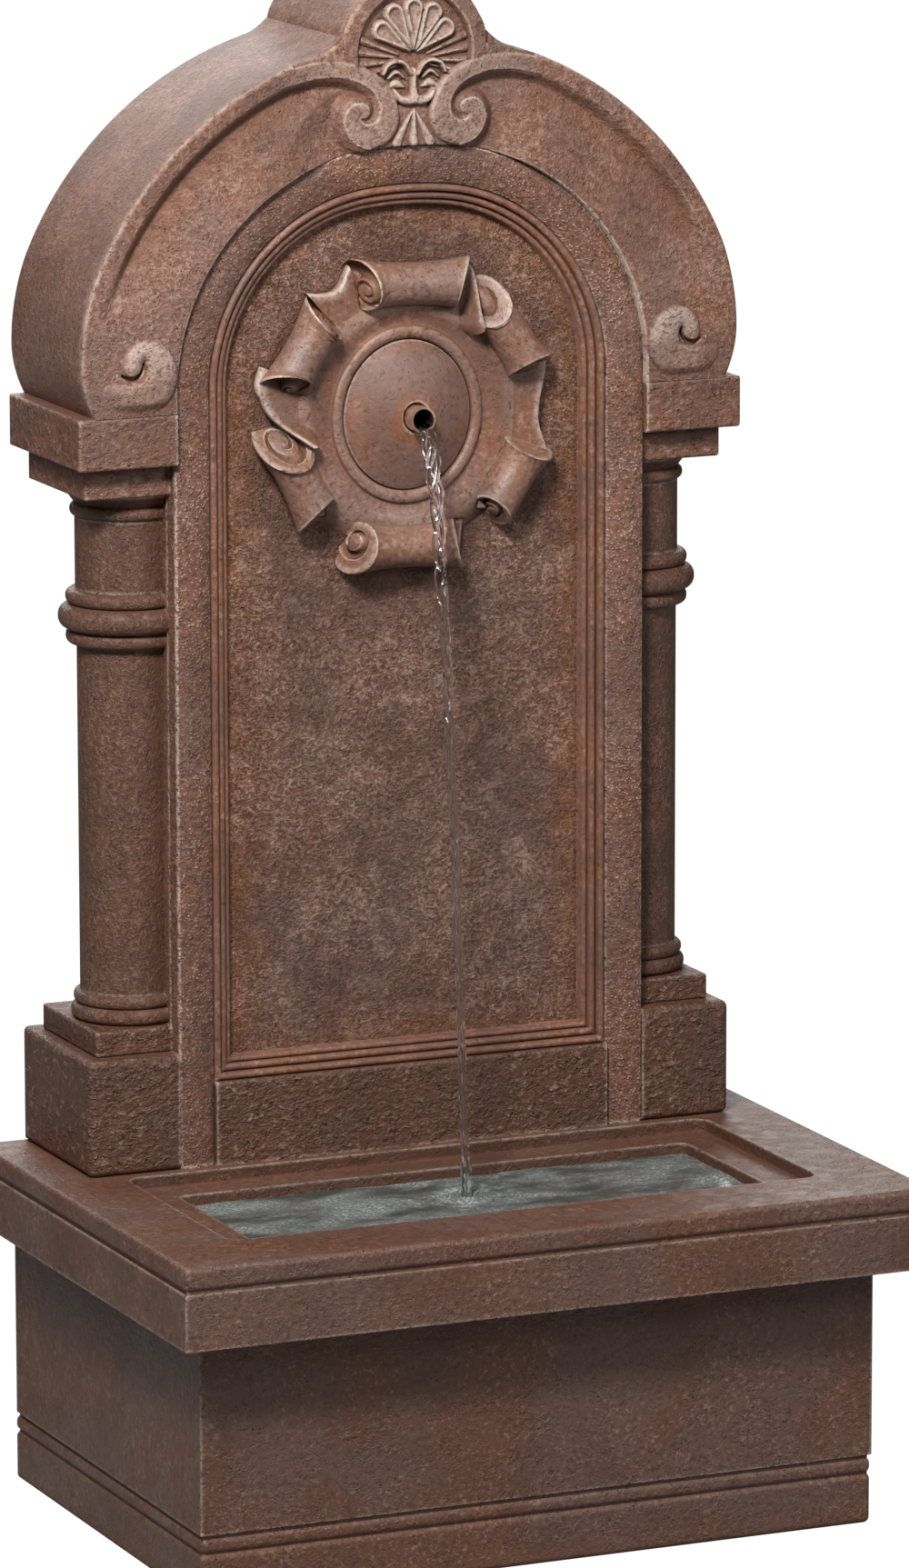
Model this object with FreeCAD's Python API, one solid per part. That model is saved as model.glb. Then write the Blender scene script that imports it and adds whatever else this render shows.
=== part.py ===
"""Garden wall fountain in cast stone, in millimetres.

Origin on the ground under the middle of the basin's box, +X to the right when
facing the fountain, +Y towards the wall behind it, +Z up.
"""
import FreeCAD, Part
import math
import os

V = FreeCAD.Vector
os.makedirs("parts", exist_ok=True)

# Basin: the pedestal is an open shell and the bowl hangs inside it
basin_width = 740.0
basin_depth = 517.0
pedestal_side_inset = 35.0
pedestal_front_inset = 54.5
pedestal_height = 253.0
pedestal_wall = 37.5
foot_band_height = 48.0
bead_height = 15.0
band_groove = 3.0
band_round = 6.0
coping_height = 76.0
nosing_height = 21.0
nosing_groove = 3.0
nosing_round = 5.0
opening_side_margin = 76.0
opening_front_margin = 82.5
opening_back_margin = 10.0
opening_corner = 16.0
rebate_depth = 12.0
ledge_width = 37.0
trough_wall = 25.0
trough_floor = 30.0
water_room = 178.0
pedestal_air_gap = 2.5
drain_radius = 12.0
drain_x = -170.0
drain_from_back_wall = 70.0

# Side members of the panel, all flush at the back, heights from the coping up
plinth_width = 90.4
plinth_depth = 172.0
plinth_height = 109.0
plinth_round = 7.0
step_width = 76.0
step_depth = 154.0
step_back_inset = 16.5
step_height = 24.0
column_offset = 19.5
column_from_back = 94.5
shaft_radius = 45.5
shaft_height = 326.0
drum_radius = 46.5
drum_height = 68.0
base_ring_radius = 54.0
base_ring_height = 15.0
base_upper_radius = 51.5
base_upper_height = 12.0
collar_radius = 62.5
collar_height = 23.0
collar_bead_radius = 55.5
collar_bead_height = 14.0
neck_bead_radius = 51.0
neck_bead_height = 12.0
neck_flare_radius = 56.5
neck_flare_height = 13.0
abacus_width = 84.0
abacus_depth = 159.5
abacus_back_inset = 15.5
abacus_height = 30.0
capital_width = 96.4
capital_depth = 179.5
capital_height = 48.0
edge_round = 3.0

# Centre of the panel
frame_side_margin = 135.0
frame_depth = 172.0
band_width = 36.5
moulding_width = 21.0
moulding_step = 9.0
recess_depth = 24.0
apron_height = 79.0
sill_height = 22.0
springing_cover = 16.0
arch_crown_flatness = 174.0
shoulder_offset = 19.0
panel_wall = 38.0
chase_width = 96.0
chase_top_room = 40.0

# Outer arch and crest
outer_arch_width = 105.5
outer_arch_crown_cover = 101.5
outer_arch_depth = 179.5
cheek_inset = 12.5
cheek_height = 48.0
foot_inset = 12.0
outer_arch_shoulder_angle = 23.0
rim_width = 16.0
valley_width = 13.0
valley_depth = 9.0
swell_width = 50.0
volute_radius = 36.0
volute_proud = 5.0
volute_inset = 51.0
volute_height = 46.0
eye_radius = 11.0
crest_radius = 72.0
crest_rise = 87.0
crest_depth = 182.0
crest_rim_width = 17.0
crest_field_depth = 11.0
scroll_radius = 27.0
scroll_x = 43.0
scroll_drop = 62.0
shell_lobe_count = 5
shell_lobe_length = 42.0
shell_lobe_radius = 8.0
shell_spread = 128.0

# Cartouche and water outlet
spout_drop = 251.0
disc_radius = 63.0
disc_edge = 8.0
disc_dome = 24.0
ring_radius = 76.0
ring_tube = 7.0
plate_radius = 118.0
plate_thickness = 12.0
roll_count = 6
roll_centre_radius = 122.0
roll_length = 106.0
roll_waist = 19.0
roll_end = 25.0
roll_sink = 3.0
spout_outer_radius = 12.0
spout_wall = 1.7
spout_reach = 18.0
fit_clearance = 0.05
nut_flats = 36.0
nut_length = 6.0
elbow_wall = 1.8
elbow_mouth = 6.0
elbow_socket = 14.0
elbow_bend = 16.0
barb_length = 22.0
barb_wall = 1.6
hose_bore_radius = 7.0
hose_wall = 2.5
clamp_band = 1.2
clamp_width = 9.0
clamp_housing = 5.0
clamp_screw_radius = 3.0
duct_radius = 15.0
duct_length = 30.0
stopper_height = 20.0
cord_hole_radius = 3.2
dowel_radius = 6.0
dowel_length = 60.0
dowel_x = 150.0

# Submersible pump, its shaft along X
pump_radius = 27.0
pump_foot = 8.0
chamber_radius = 22.0
outlet_overlap = 2.0
spigot_shoulder = 4.0
chamber_length = 20.0
motor_length = 66.0
rotor_well_radius = 14.0
rotor_gap = 0.8
rotor_length = 46.0
rotor_end_play = 1.0
impeller_plate = 2.0
hub_radius = 6.0
vane_count = 6
vane_thickness = 1.6
pump_shaft_radius = 1.5
bush_radius = 4.0
bush_length = 5.0
cover_thickness = 3.0
cover_eye_radius = 9.0
cover_arm = 2.0
cover_arm_count = 3
strainer_length = 36.0
strainer_wall = 2.2
slot_count = 7
slot_width = 2.4
dial_radius = 11.0
dial_thickness = 4.0
dial_pivot_radius = 2.5
dial_gap = 0.3
pointer_width = 3.0
pointer_height = 2.0
gland_radius = 7.0
gland_length = 12.0
cup_radius = 9.0
plug_head_radius = 17.0
plug_taper = 1.5
plug_head_height = 6.0
plug_grip_height = 16.0
plug_grip_thickness = 5.0

# Levels and planes that follow from the sizes
back_y = basin_depth / 2
front_y = -basin_depth / 2
rim_top = pedestal_height + coping_height
coping_half = basin_width / 2
frame_half_width = coping_half - frame_side_margin
column_x = frame_half_width + column_offset
pedestal_half = coping_half - pedestal_side_inset
pedestal_front = front_y + pedestal_front_inset
plinth_face = back_y - plinth_depth
frame_face = back_y - frame_depth
recess_face = frame_face + recess_depth
chase_face = recess_face + panel_wall
opening_half = coping_half - opening_side_margin
opening_front = front_y + opening_front_margin
opening_back = plinth_face - opening_back_margin
tank_half = opening_half - ledge_width
tank_front = opening_front + ledge_width
mouth_back = opening_back - ledge_width
tank_floor = pedestal_height - water_room
trough_half = tank_half + trough_wall
trough_back = back_y - pedestal_wall - pedestal_air_gap
tank_back = trough_back - trough_wall
hose_radius = hose_bore_radius + hose_wall
elbow_radius = spout_outer_radius + elbow_wall
barb_bore_radius = hose_bore_radius - barb_wall
riser_y = chase_face + nut_length + elbow_mouth + elbow_bend
sub_top = plinth_height + step_height
shaft_foot = sub_top + base_ring_height + base_upper_height
collar_foot = shaft_foot + shaft_height
drum_foot = collar_foot + 2 * collar_bead_height + collar_height
neck_foot = drum_foot + drum_height
abacus_foot = neck_foot + neck_bead_height + neck_flare_height
capital_foot = abacus_foot + abacus_height
capital_top = capital_foot + capital_height
arch_shoulder_radius = frame_half_width - shoulder_offset
arch_crown_radius = arch_shoulder_radius + arch_crown_flatness
shoulder_rise = math.sqrt(arch_crown_flatness ** 2 - shoulder_offset ** 2)
springing = rim_top + capital_top + springing_cover
arch_crown = springing - shoulder_rise + arch_crown_radius
outer_arch_radius = frame_half_width + outer_arch_width
outer_arch_z = arch_crown + outer_arch_crown_cover - outer_arch_radius
crest_z = arch_crown + crest_rise
spout_z = arch_crown - spout_drop
cheek_x = outer_arch_radius - cheek_inset
volute_x = cheek_x - volute_inset
column_y = back_y - column_from_back
inner_half = frame_half_width - band_width
recess_half = inner_half - moulding_width
sill_top = apron_height + sill_height
pump_z = tank_floor + pump_foot + pump_radius
outlet_offset = chamber_radius - hose_bore_radius + outlet_overlap
pump_y = riser_y - outlet_offset
along = V(1, 0, 0)
chamber_face = -chamber_length / 2
motor_face = chamber_length / 2
motor_end = motor_face + motor_length
shaft_end = motor_face + rotor_length + bush_length
dial_face = chamber_face - cover_thickness - strainer_length


def block(x0, x1, y0, y1, z0, z1):
    return Part.makeBox(x1 - x0, y1 - y0, z1 - z0, V(x0, y0, z0))


def rod(centre, axis, radius, length):
    return Part.makeCylinder(radius, length, centre, axis)


def mirrored(shape):
    return shape.mirror(V(0, 0, 0), V(1, 0, 0))


def rounded(shape, radius, wanted):
    """Fillet the edges whose middle point passes the test."""
    edges = [edge for edge in shape.Edges if wanted(edge.CenterOfMass)]
    return shape.makeFillet(radius, edges)


def near(value, target):
    return abs(value - target) < 0.01


def save(name, shape):
    solid = shape.removeSplitter()
    solid.exportStep("parts/" + name + ".step")


def save_pair(name, shape):
    save(name + "_right", shape)
    save(name + "_left", mirrored(shape))


def course(inset, z0, z1, rounding):
    """One solid course of the pedestal, flush at the back."""
    half = pedestal_half - inset
    face = pedestal_front + inset
    slab = block(-half, half, face, back_y, z0, z1)
    if rounding:
        slab = rounded(slab, rounding, lambda c: c.y < back_y - 1)
    return slab


def pedestal():
    bead_foot = foot_band_height
    bead_top = bead_foot + bead_height
    shell = course(0, 0, bead_foot, band_round)
    shell = shell.fuse(course(band_groove, bead_foot - band_round, bead_top + band_groove, 0))
    shell = shell.fuse(course(0, bead_foot, bead_top, band_round))
    shell = shell.fuse(course(0, bead_top + band_groove, pedestal_height, 0))
    inner = block(
        pedestal_wall - pedestal_half, pedestal_half - pedestal_wall,
        pedestal_front + pedestal_wall, back_y - pedestal_wall, -1, pedestal_height + 1)
    return shell.cut(inner)


def rounded_plan(half, y0, y1, z0, z1, corner):
    """Upright box with its four upright edges rounded."""
    slab = block(-half, half, y0, y1, z0, z1)
    mid = (z0 + z1) / 2
    return rounded(slab, corner, lambda c: near(c.z, mid))


def duct(radius, z0, z1):
    """Slot for the hose and the lead through the back of the bowl."""
    end = duct_length
    slot = rod(V(0, riser_y, z0), V(0, 0, 1), radius, z1 - z0)
    slot = slot.fuse(rod(V(end, riser_y, z0), V(0, 0, 1), radius, z1 - z0))
    return slot.fuse(block(0, end, riser_y - radius, riser_y + radius, z0, z1))


def dowel(side, radius):
    """Pin half in the coping and half in the panel above it."""
    foot = V(side * dowel_x, (recess_face + back_y) / 2, rim_top - dowel_length / 2)
    return rod(foot, V(0, 0, 1), radius, dowel_length)


def dowel_holes():
    return [dowel(side, dowel_radius + fit_clearance) for side in (-1, 1)]


def bowl():
    groove_top = rim_top - nosing_height
    fascia = block(-coping_half, coping_half, front_y, back_y, pedestal_height, groove_top - nosing_groove)
    neck = block(
        nosing_groove - coping_half, coping_half - nosing_groove,
        front_y + nosing_groove, back_y, pedestal_height, rim_top - nosing_groove)
    nosing = block(-coping_half, coping_half, front_y, back_y, groove_top, rim_top)
    nosing = rounded(nosing, nosing_round, lambda c: c.y < back_y - 1)
    body = fascia.fuse([neck, nosing])
    trough = block(
        -trough_half, trough_half, tank_front - trough_wall, trough_back,
        tank_floor - trough_floor, pedestal_height + 1)
    body = body.fuse(trough)
    rebate = rounded_plan(
        opening_half, opening_front, opening_back, rim_top - rebate_depth, rim_top + 1, opening_corner)
    mouth = rounded_plan(
        tank_half, tank_front, mouth_back, tank_floor + 1, rim_top, opening_corner / 2)
    tank = rounded_plan(
        tank_half, tank_front, tank_back, tank_floor, pedestal_height, opening_corner / 2)
    drain = rod(drain_place(tank_floor - trough_floor - 1), V(0, 0, 1), drain_radius, trough_floor + 2)
    riser_duct = duct(duct_radius, tank_floor + 1, rim_top + 1)
    return body.cut([rebate, mouth, tank, drain, riser_duct] + dowel_holes())


def drain_place(z):
    return V(drain_x, tank_back - drain_from_back_wall, z)


def drain_plug():
    """Rubber stopper with a moulded grip, pulled out to empty the bowl."""
    stem = Part.makeCone(
        drain_radius - plug_taper, drain_radius - fit_clearance, trough_floor,
        drain_place(tank_floor - trough_floor), V(0, 0, 1))
    head = rod(drain_place(tank_floor), V(0, 0, 1), plug_head_radius, plug_head_height)
    head = rounded(head, plug_head_height / 3, lambda c: c.z > tank_floor + 1)
    grip_place = drain_place(tank_floor + plug_head_height - 1)
    grip = rod(
        grip_place - V(0, plug_grip_thickness / 2, 0), V(0, 1, 0), plug_head_radius * 0.7, plug_grip_thickness)
    grip = grip.common(block(
        grip_place.x - plug_head_radius, grip_place.x + plug_head_radius,
        grip_place.y - plug_head_radius, grip_place.y + plug_head_radius,
        grip_place.z, grip_place.z + plug_grip_height))
    return stem.fuse([head, grip])


def side_member(width, depth, back_inset, foot, height, rounding):
    """One stone of the right-hand pier, from the frame outwards."""
    stone = block(
        frame_half_width, frame_half_width + width, back_y - depth, back_y - back_inset,
        rim_top + foot, rim_top + foot + height)
    face = back_y - depth
    outer = frame_half_width + width
    return rounded(stone, rounding, lambda c: near(c.y, face) and c.x > frame_half_width + 1 or near(c.x, outer))


def disc_course(radius, foot, height, rounding):
    """A round course on the column's axis, clear of the frame beside it."""
    centre = V(column_x, column_y, rim_top + foot)
    course_solid = rod(centre, V(0, 0, 1), radius, height)
    if rounding:
        course_solid = course_solid.makeFillet(rounding, course_solid.Edges[0:3:2])
    return course_solid.cut(frame_keep_out())


def frame_keep_out():
    return block(0, frame_half_width, frame_face - basin_depth, back_y + 1, 0, 3 * rim_top + capital_top)


def column_base():
    lower = disc_course(base_ring_radius, sub_top, base_ring_height, base_ring_height * 0.45)
    upper = disc_course(
        base_upper_radius, sub_top + base_ring_height, base_upper_height, base_upper_height * 0.45)
    return lower.fuse(upper)


def column_collar():
    low = disc_course(collar_bead_radius, collar_foot, collar_bead_height, collar_bead_height * 0.45)
    middle = disc_course(
        collar_radius, collar_foot + collar_bead_height, collar_height, collar_height * 0.45)
    high = disc_course(
        collar_bead_radius, drum_foot - collar_bead_height, collar_bead_height, collar_bead_height * 0.45)
    return low.fuse([middle, high])


def column_necking():
    bead = disc_course(neck_bead_radius, neck_foot, neck_bead_height, neck_bead_height * 0.45)
    foot = V(column_x, column_y, rim_top + neck_foot + neck_bead_height)
    flare = Part.makeCone(drum_radius, neck_flare_radius, neck_flare_height, foot, V(0, 0, 1))
    return bead.fuse(flare.cut(frame_keep_out()))


def arch_face(half_width, foot):
    """Outline of the frame at a half width: jambs and a three-centred arch."""
    inset = frame_half_width - half_width
    shoulder = arch_shoulder_radius - inset
    turn = math.atan2(shoulder_rise, shoulder_offset)

    def on_shoulder(angle, side):
        return V(side * (shoulder_offset + shoulder * math.cos(angle)), 0, springing + shoulder * math.sin(angle))

    top = V(0, 0, arch_crown - inset)
    jamb_foot = [V(side * half_width, 0, foot) for side in (-1, 1)]
    edges = [Part.LineSegment(jamb_foot[0], jamb_foot[1]).toShape()]
    edges.append(Part.LineSegment(jamb_foot[1], on_shoulder(0, 1)).toShape())
    edges.append(Part.Arc(on_shoulder(0, 1), on_shoulder(turn / 2, 1), on_shoulder(turn, 1)).toShape())
    edges.append(Part.Arc(on_shoulder(turn, 1), top, on_shoulder(turn, -1)).toShape())
    edges.append(Part.Arc(on_shoulder(turn, -1), on_shoulder(turn / 2, -1), on_shoulder(0, -1)).toShape())
    edges.append(Part.LineSegment(on_shoulder(0, -1), jamb_foot[0]).toShape())
    return Part.Face(Part.Wire(edges))


def arch_block(half_width, foot, y0, y1):
    face = arch_face(half_width, foot)
    face.translate(V(0, y0, 0))
    return face.extrude(V(0, y1 - y0, 0))


def back_panel():
    slab = arch_block(frame_half_width, rim_top, recess_face, back_y)
    chase = block(
        -chase_width / 2, chase_width / 2, chase_face, back_y + 1, rim_top - 1, spout_z + chase_top_room)
    bore = rod(V(0, recess_face - 1, spout_z), V(0, 1, 0), spout_outer_radius + fit_clearance, panel_wall + 2)
    return slab.cut([chase, bore] + dowel_holes())


def band():
    """The wide rounded band of the frame, as a ring from foot to foot."""
    ring = arch_block(frame_half_width, rim_top, frame_face, recess_face)
    hole = arch_block(inner_half, rim_top - 1, frame_face - 1, recess_face + 1)
    return ring.cut(hole)


def pilaster():
    reach = 2 * frame_half_width
    part = band().common(block(0, reach, frame_face - 1, recess_face + 1, rim_top, springing))
    return rounded(part, edge_round * 2, lambda c: near(c.y, frame_face) and c.z < springing - 1)


def arch_band():
    reach = 2 * frame_half_width
    part = band().common(block(-reach, reach, frame_face - 1, recess_face + 1, springing, springing + reach))
    return rounded(part, edge_round * 2, lambda c: near(c.y, frame_face) and c.z > springing + 1)


def inner_moulding():
    """Two stepped rolls round the recess, along the sill as well."""
    foot = rim_top + apron_height
    first_depth = moulding_step
    outer = arch_block(inner_half, foot, frame_face + first_depth / 2, recess_face)
    split = inner_half - moulding_width * 0.45
    sill_split = foot + sill_height * 0.45
    first_hole = arch_block(split, sill_split, frame_face - 1, frame_face + first_depth + first_depth / 2)
    hole = arch_block(recess_half, rim_top + sill_top, frame_face - 1, recess_face + 1)
    ring = outer.cut([first_hole, hole])
    return ring


def apron():
    top = rim_top + apron_height
    stone = block(-inner_half, inner_half, frame_face, recess_face, rim_top, top)
    return rounded(stone, edge_round, lambda c: near(c.y, frame_face) and near(c.z, top))


def bow(belly, end):
    """Arc that leaves the belly point upright and runs to the end point."""
    run = belly.x - end.x
    rise = end.z - belly.z
    radius = (run ** 2 + rise ** 2) / (2 * run)
    half_turn = math.asin(rise / radius) / 2
    middle = V(belly.x - radius + radius * math.cos(half_turn), 0, belly.z + radius * math.sin(half_turn))
    return Part.Arc(belly, middle, end).toShape()


def outer_arch_face():
    """Right half of the big arch, its cheek drawn in above the capital."""
    foot_z = rim_top + capital_top

    def on_arch(degrees):
        angle = math.radians(degrees)
        return V(outer_arch_radius * math.cos(angle), 0, outer_arch_z + outer_arch_radius * math.sin(angle))

    shoulder = on_arch(outer_arch_shoulder_angle)
    cheek = V(cheek_x, 0, foot_z + cheek_height)
    foot = V(cheek_x - foot_inset, 0, foot_z)
    crown = on_arch(90)
    edges = [Part.LineSegment(V(0, 0, foot_z), foot).toShape()]
    edges.append(bow(cheek, foot))
    edges.append(bow(cheek, shoulder))
    edges.append(Part.Arc(shoulder, on_arch((outer_arch_shoulder_angle + 90) / 2), crown).toShape())
    edges.append(Part.LineSegment(crown, V(0, 0, foot_z)).toShape())
    return Part.Face(Part.Wire(edges))


def crest_outline(y0, y1):
    head = rod(V(0, y0, crest_z), V(0, 1, 0), crest_radius, y1 - y0)
    return head.fuse(block(-crest_radius, crest_radius, y0, y1, springing, crest_z))


def arch_hollow(y0):
    """What is turned out of the big arch's face between its rim and its swelling."""
    rim = outer_arch_radius - rim_width
    valley = rim - valley_width
    swell = valley - swell_width
    bend = (swell_width ** 2 + valley_depth ** 2) / (2 * valley_depth)
    half = swell_width / 2
    dip = bend - math.sqrt(bend ** 2 - half ** 2)

    def at(radius, depth):
        return V(radius, y0 + depth, outer_arch_z)

    corner = at(rim - valley_width * 0.3, valley_depth * 0.7)
    edges = [
        Part.Arc(at(rim, 0), corner, at(valley, valley_depth)).toShape(),
        Part.Arc(at(valley, valley_depth), at(swell + half, dip), at(swell, 0)).toShape(),
        Part.LineSegment(at(swell, 0), at(swell, -valley_depth)).toShape(),
        Part.LineSegment(at(swell, -valley_depth), at(rim, -valley_depth)).toShape(),
        Part.LineSegment(at(rim, -valley_depth), at(rim, 0)).toShape(),
    ]
    return Part.Face(Part.Wire(edges)).revolve(V(0, y0, outer_arch_z), V(0, 1, 0), 360)


def outer_arch():
    y0 = back_y - outer_arch_depth
    face = outer_arch_face()
    face.translate(V(0, y0, 0))
    stone = face.extrude(V(0, outer_arch_depth, 0))
    stone = stone.cut(arch_block(frame_half_width, rim_top, y0 - 1, back_y + 1))
    stone = stone.cut(crest_outline(y0 - 1, back_y + 1))
    stone = stone.cut(arch_hollow(y0))
    place = V(volute_x, y0 - volute_proud, rim_top + capital_top + volute_height)
    boss = rod(place, V(0, 1, 0), volute_radius, volute_proud + valley_depth)
    boss = rounded(boss, volute_proud * 0.7, lambda c: near(c.y, y0 - volute_proud))
    eye = Part.makeSphere(eye_radius, place + V(0, eye_radius / 3, 0))
    eye = eye.common(block(0, outer_arch_radius, y0 - volute_proud - eye_radius, y0 + 1, 0, 5 * rim_top))
    return stone.fuse([boss, eye])


def shell_lobes(root, field_y):
    lobes = []
    for index in range(shell_lobe_count):
        share = index / (shell_lobe_count - 1) - 0.5
        angle = math.radians(90 + shell_spread * share)
        along = V(math.cos(angle), 0, math.sin(angle))
        lobe = Part.makeCone(shell_lobe_radius * 0.25, shell_lobe_radius, shell_lobe_length, root, along)
        tip = Part.makeSphere(shell_lobe_radius, root + along * shell_lobe_length)
        lobes.append(lobe.fuse(tip))
    half_space = block(
        -crest_radius, crest_radius, field_y - crest_radius, field_y + 1,
        root.z - crest_radius, root.z + 2 * crest_radius)
    fan = lobes[0].fuse(lobes[1:])
    return fan.common(half_space)


def crest():
    """Round head with a sunk field, a shell and the two scrolls at its foot."""
    y0 = back_y - crest_depth
    field_y = y0 + crest_field_depth
    stone = crest_outline(field_y, back_y)
    stone = stone.cut(arch_block(frame_half_width, rim_top, field_y - 1, back_y + 1))
    rim = rod(V(0, y0, crest_z), V(0, 1, 0), crest_radius, crest_field_depth)
    rim = rim.cut(rod(V(0, y0 - 1, crest_z), V(0, 1, 0), crest_radius - crest_rim_width, crest_field_depth + 2))
    rim = rim.cut(block(
        -crest_radius, crest_radius, y0 - 1, field_y + 1, crest_z - crest_radius, crest_z - crest_rim_width))
    parts = [rim]
    for side in (-1, 1):
        place = V(side * scroll_x, y0, crest_z - scroll_drop)
        curl = rod(place, V(0, 1, 0), scroll_radius, crest_field_depth)
        parts.append(rounded(curl, crest_field_depth * 0.5, lambda c: near(c.y, y0)))
    parts.append(shell_lobes(V(0, field_y, crest_z - shell_lobe_length * 0.3), field_y))
    return stone.fuse(parts)


def roll():
    """One waisted scroll of the cartouche, its axis along X at the origin."""
    half = roll_length / 2
    outline = [
        Part.LineSegment(V(-half, 0, 0), V(-half, 0, roll_end)).toShape(),
        Part.Arc(V(-half, 0, roll_end), V(0, 0, roll_waist), V(half, 0, roll_end)).toShape(),
        Part.LineSegment(V(half, 0, roll_end), V(half, 0, 0)).toShape(),
        Part.LineSegment(V(half, 0, 0), V(-half, 0, 0)).toShape(),
    ]
    return Part.Face(Part.Wire(outline)).revolve(V(0, 0, 0), V(1, 0, 0), 360)


def cartouche():
    centre = V(0, recess_face, spout_z)
    plate = rod(centre - V(0, plate_thickness, 0), V(0, 1, 0), plate_radius, plate_thickness)
    parts = []
    for index in range(roll_count):
        strap = roll()
        strap.translate(V(0, recess_face + roll_sink - roll_waist, spout_z + roll_centre_radius))
        strap.rotate(centre, V(0, 1, 0), index * 360 / roll_count)
        parts.append(strap)
    parts.append(Part.makeTorus(
        ring_radius, ring_tube, centre - V(0, plate_thickness, 0), V(0, 1, 0)))
    body = plate.fuse(parts)
    reach = 2 * roll_centre_radius
    wall = block(-reach, reach, recess_face, recess_face + reach, spout_z - reach, spout_z + reach)
    hole = rod(centre - V(0, reach, 0), V(0, 1, 0), disc_radius, 2 * reach)
    return body.cut([wall, hole])


def disc():
    """Domed boss in the middle, drilled for the spout."""
    ball_radius = (disc_radius ** 2 + disc_dome ** 2) / (2 * disc_dome)
    rim_y = recess_face - disc_edge
    ball = Part.makeSphere(ball_radius, V(0, rim_y - disc_dome + ball_radius, spout_z))
    body = rod(V(0, rim_y - disc_dome, spout_z), V(0, 1, 0), disc_radius, disc_edge + disc_dome)
    bore = rod(
        V(0, rim_y - 2 * disc_dome, spout_z), V(0, 1, 0), spout_outer_radius + fit_clearance, 4 * disc_dome)
    keep = block(
        -disc_radius, disc_radius, rim_y - 2 * disc_dome, rim_y, spout_z - disc_radius, spout_z + disc_radius)
    cap = ball.common(body).common(keep)
    base = rod(V(0, rim_y, spout_z), V(0, 1, 0), disc_radius, disc_edge)
    return base.fuse(cap).cut(bore)


def tube(start, axis, outer, inner, length):
    return rod(start, axis, outer, length).cut(rod(start - axis, axis, inner, length + 2))


def spout_tip():
    return recess_face - disc_edge - disc_dome - spout_reach


def spout_tube():
    tip = spout_tip()
    length = chase_face + nut_length + elbow_mouth - tip
    return tube(V(0, tip, spout_z), V(0, 1, 0), spout_outer_radius, spout_outer_radius - spout_wall, length)


def spout_nut():
    corner = nut_flats / math.sqrt(3)
    points = [V(corner * math.cos(math.radians(60 * k)), 0, corner * math.sin(math.radians(60 * k)))
              for k in range(7)]
    face = Part.Face(Part.makePolygon(points))
    nut = face.extrude(V(0, nut_length, 0))
    nut = nut.cut(rod(V(0, -1, 0), V(0, 1, 0), spout_outer_radius + fit_clearance, nut_length + 2))
    nut.translate(V(0, chase_face, spout_z))
    return nut


def elbow():
    """Copper bend from the spout down to the hose barb."""
    mouth = V(0, chase_face + nut_length, spout_z)
    bend_start = mouth.y + elbow_mouth
    bend_foot = V(0, riser_y, spout_z - elbow_bend)
    centre = V(0, bend_start, bend_foot.z)
    outer = Part.makeTorus(elbow_bend, elbow_radius, centre, V(1, 0, 0))
    inner = Part.makeTorus(elbow_bend, elbow_radius - elbow_wall, centre, V(1, 0, 0))
    reach = elbow_bend + elbow_radius
    quarter = block(-reach, reach, bend_start, bend_start + reach, bend_foot.z, spout_z + reach)
    bend = outer.common(quarter).cut(inner)
    collar = tube(mouth, V(0, 1, 0), elbow_radius, spout_outer_radius + fit_clearance, elbow_mouth)
    down = V(0, 0, -1)
    socket = rod(bend_foot, down, elbow_radius, elbow_socket)
    stub = rod(bend_foot + down * elbow_socket, down, hose_bore_radius - fit_clearance, barb_length)
    bore = rod(bend_foot - down, down, barb_bore_radius, elbow_socket + barb_length + 2)
    return bend.fuse([collar, socket, stub]).cut(bore)


def hose_top():
    return spout_z - elbow_bend - elbow_socket


def hose_foot():
    return pump_z + pump_radius + spigot_shoulder


def riser_hose():
    foot = hose_foot()
    return tube(V(0, riser_y, foot), V(0, 0, 1), hose_radius, hose_bore_radius, hose_top() - foot)


def hose_clamp(z):
    """Worm-drive clamp, its screw housing towards the front."""
    inner = hose_radius + fit_clearance
    outer = inner + clamp_band
    ring = tube(V(0, riser_y, z), V(0, 0, 1), outer, inner, clamp_width)
    front = riser_y - outer
    half = clamp_width * 0.7
    housing = block(-half, half, front - clamp_housing, front + clamp_band / 2, z, z + clamp_width)
    screw_start = V(-clamp_width, front - clamp_housing / 2, z + clamp_width / 2)
    screw = rod(screw_start, V(1, 0, 0), clamp_screw_radius, 2 * clamp_width)
    inside = rod(V(0, riser_y, z - 1), V(0, 0, 1), inner, clamp_width + 2)
    return ring.fuse([housing, screw]).cut(inside)


def duct_stopper():
    """Rubber stopper round the hose, with a blank hole for the lead."""
    z0 = rim_top - stopper_height
    plug = duct(duct_radius - fit_clearance, z0, rim_top)
    hose_hole = rod(V(0, riser_y, z0 - 1), V(0, 0, 1), hose_radius + fit_clearance, stopper_height + 2)
    cord_hole = rod(V(duct_length, riser_y, z0 - 1), V(0, 0, 1), cord_hole_radius, stopper_height + 2)
    return plug.cut([hose_hole, cord_hole])


def pump_place(x, dy=0.0, dz=0.0):
    return V(x, pump_y + dy, pump_z + dz)


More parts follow.
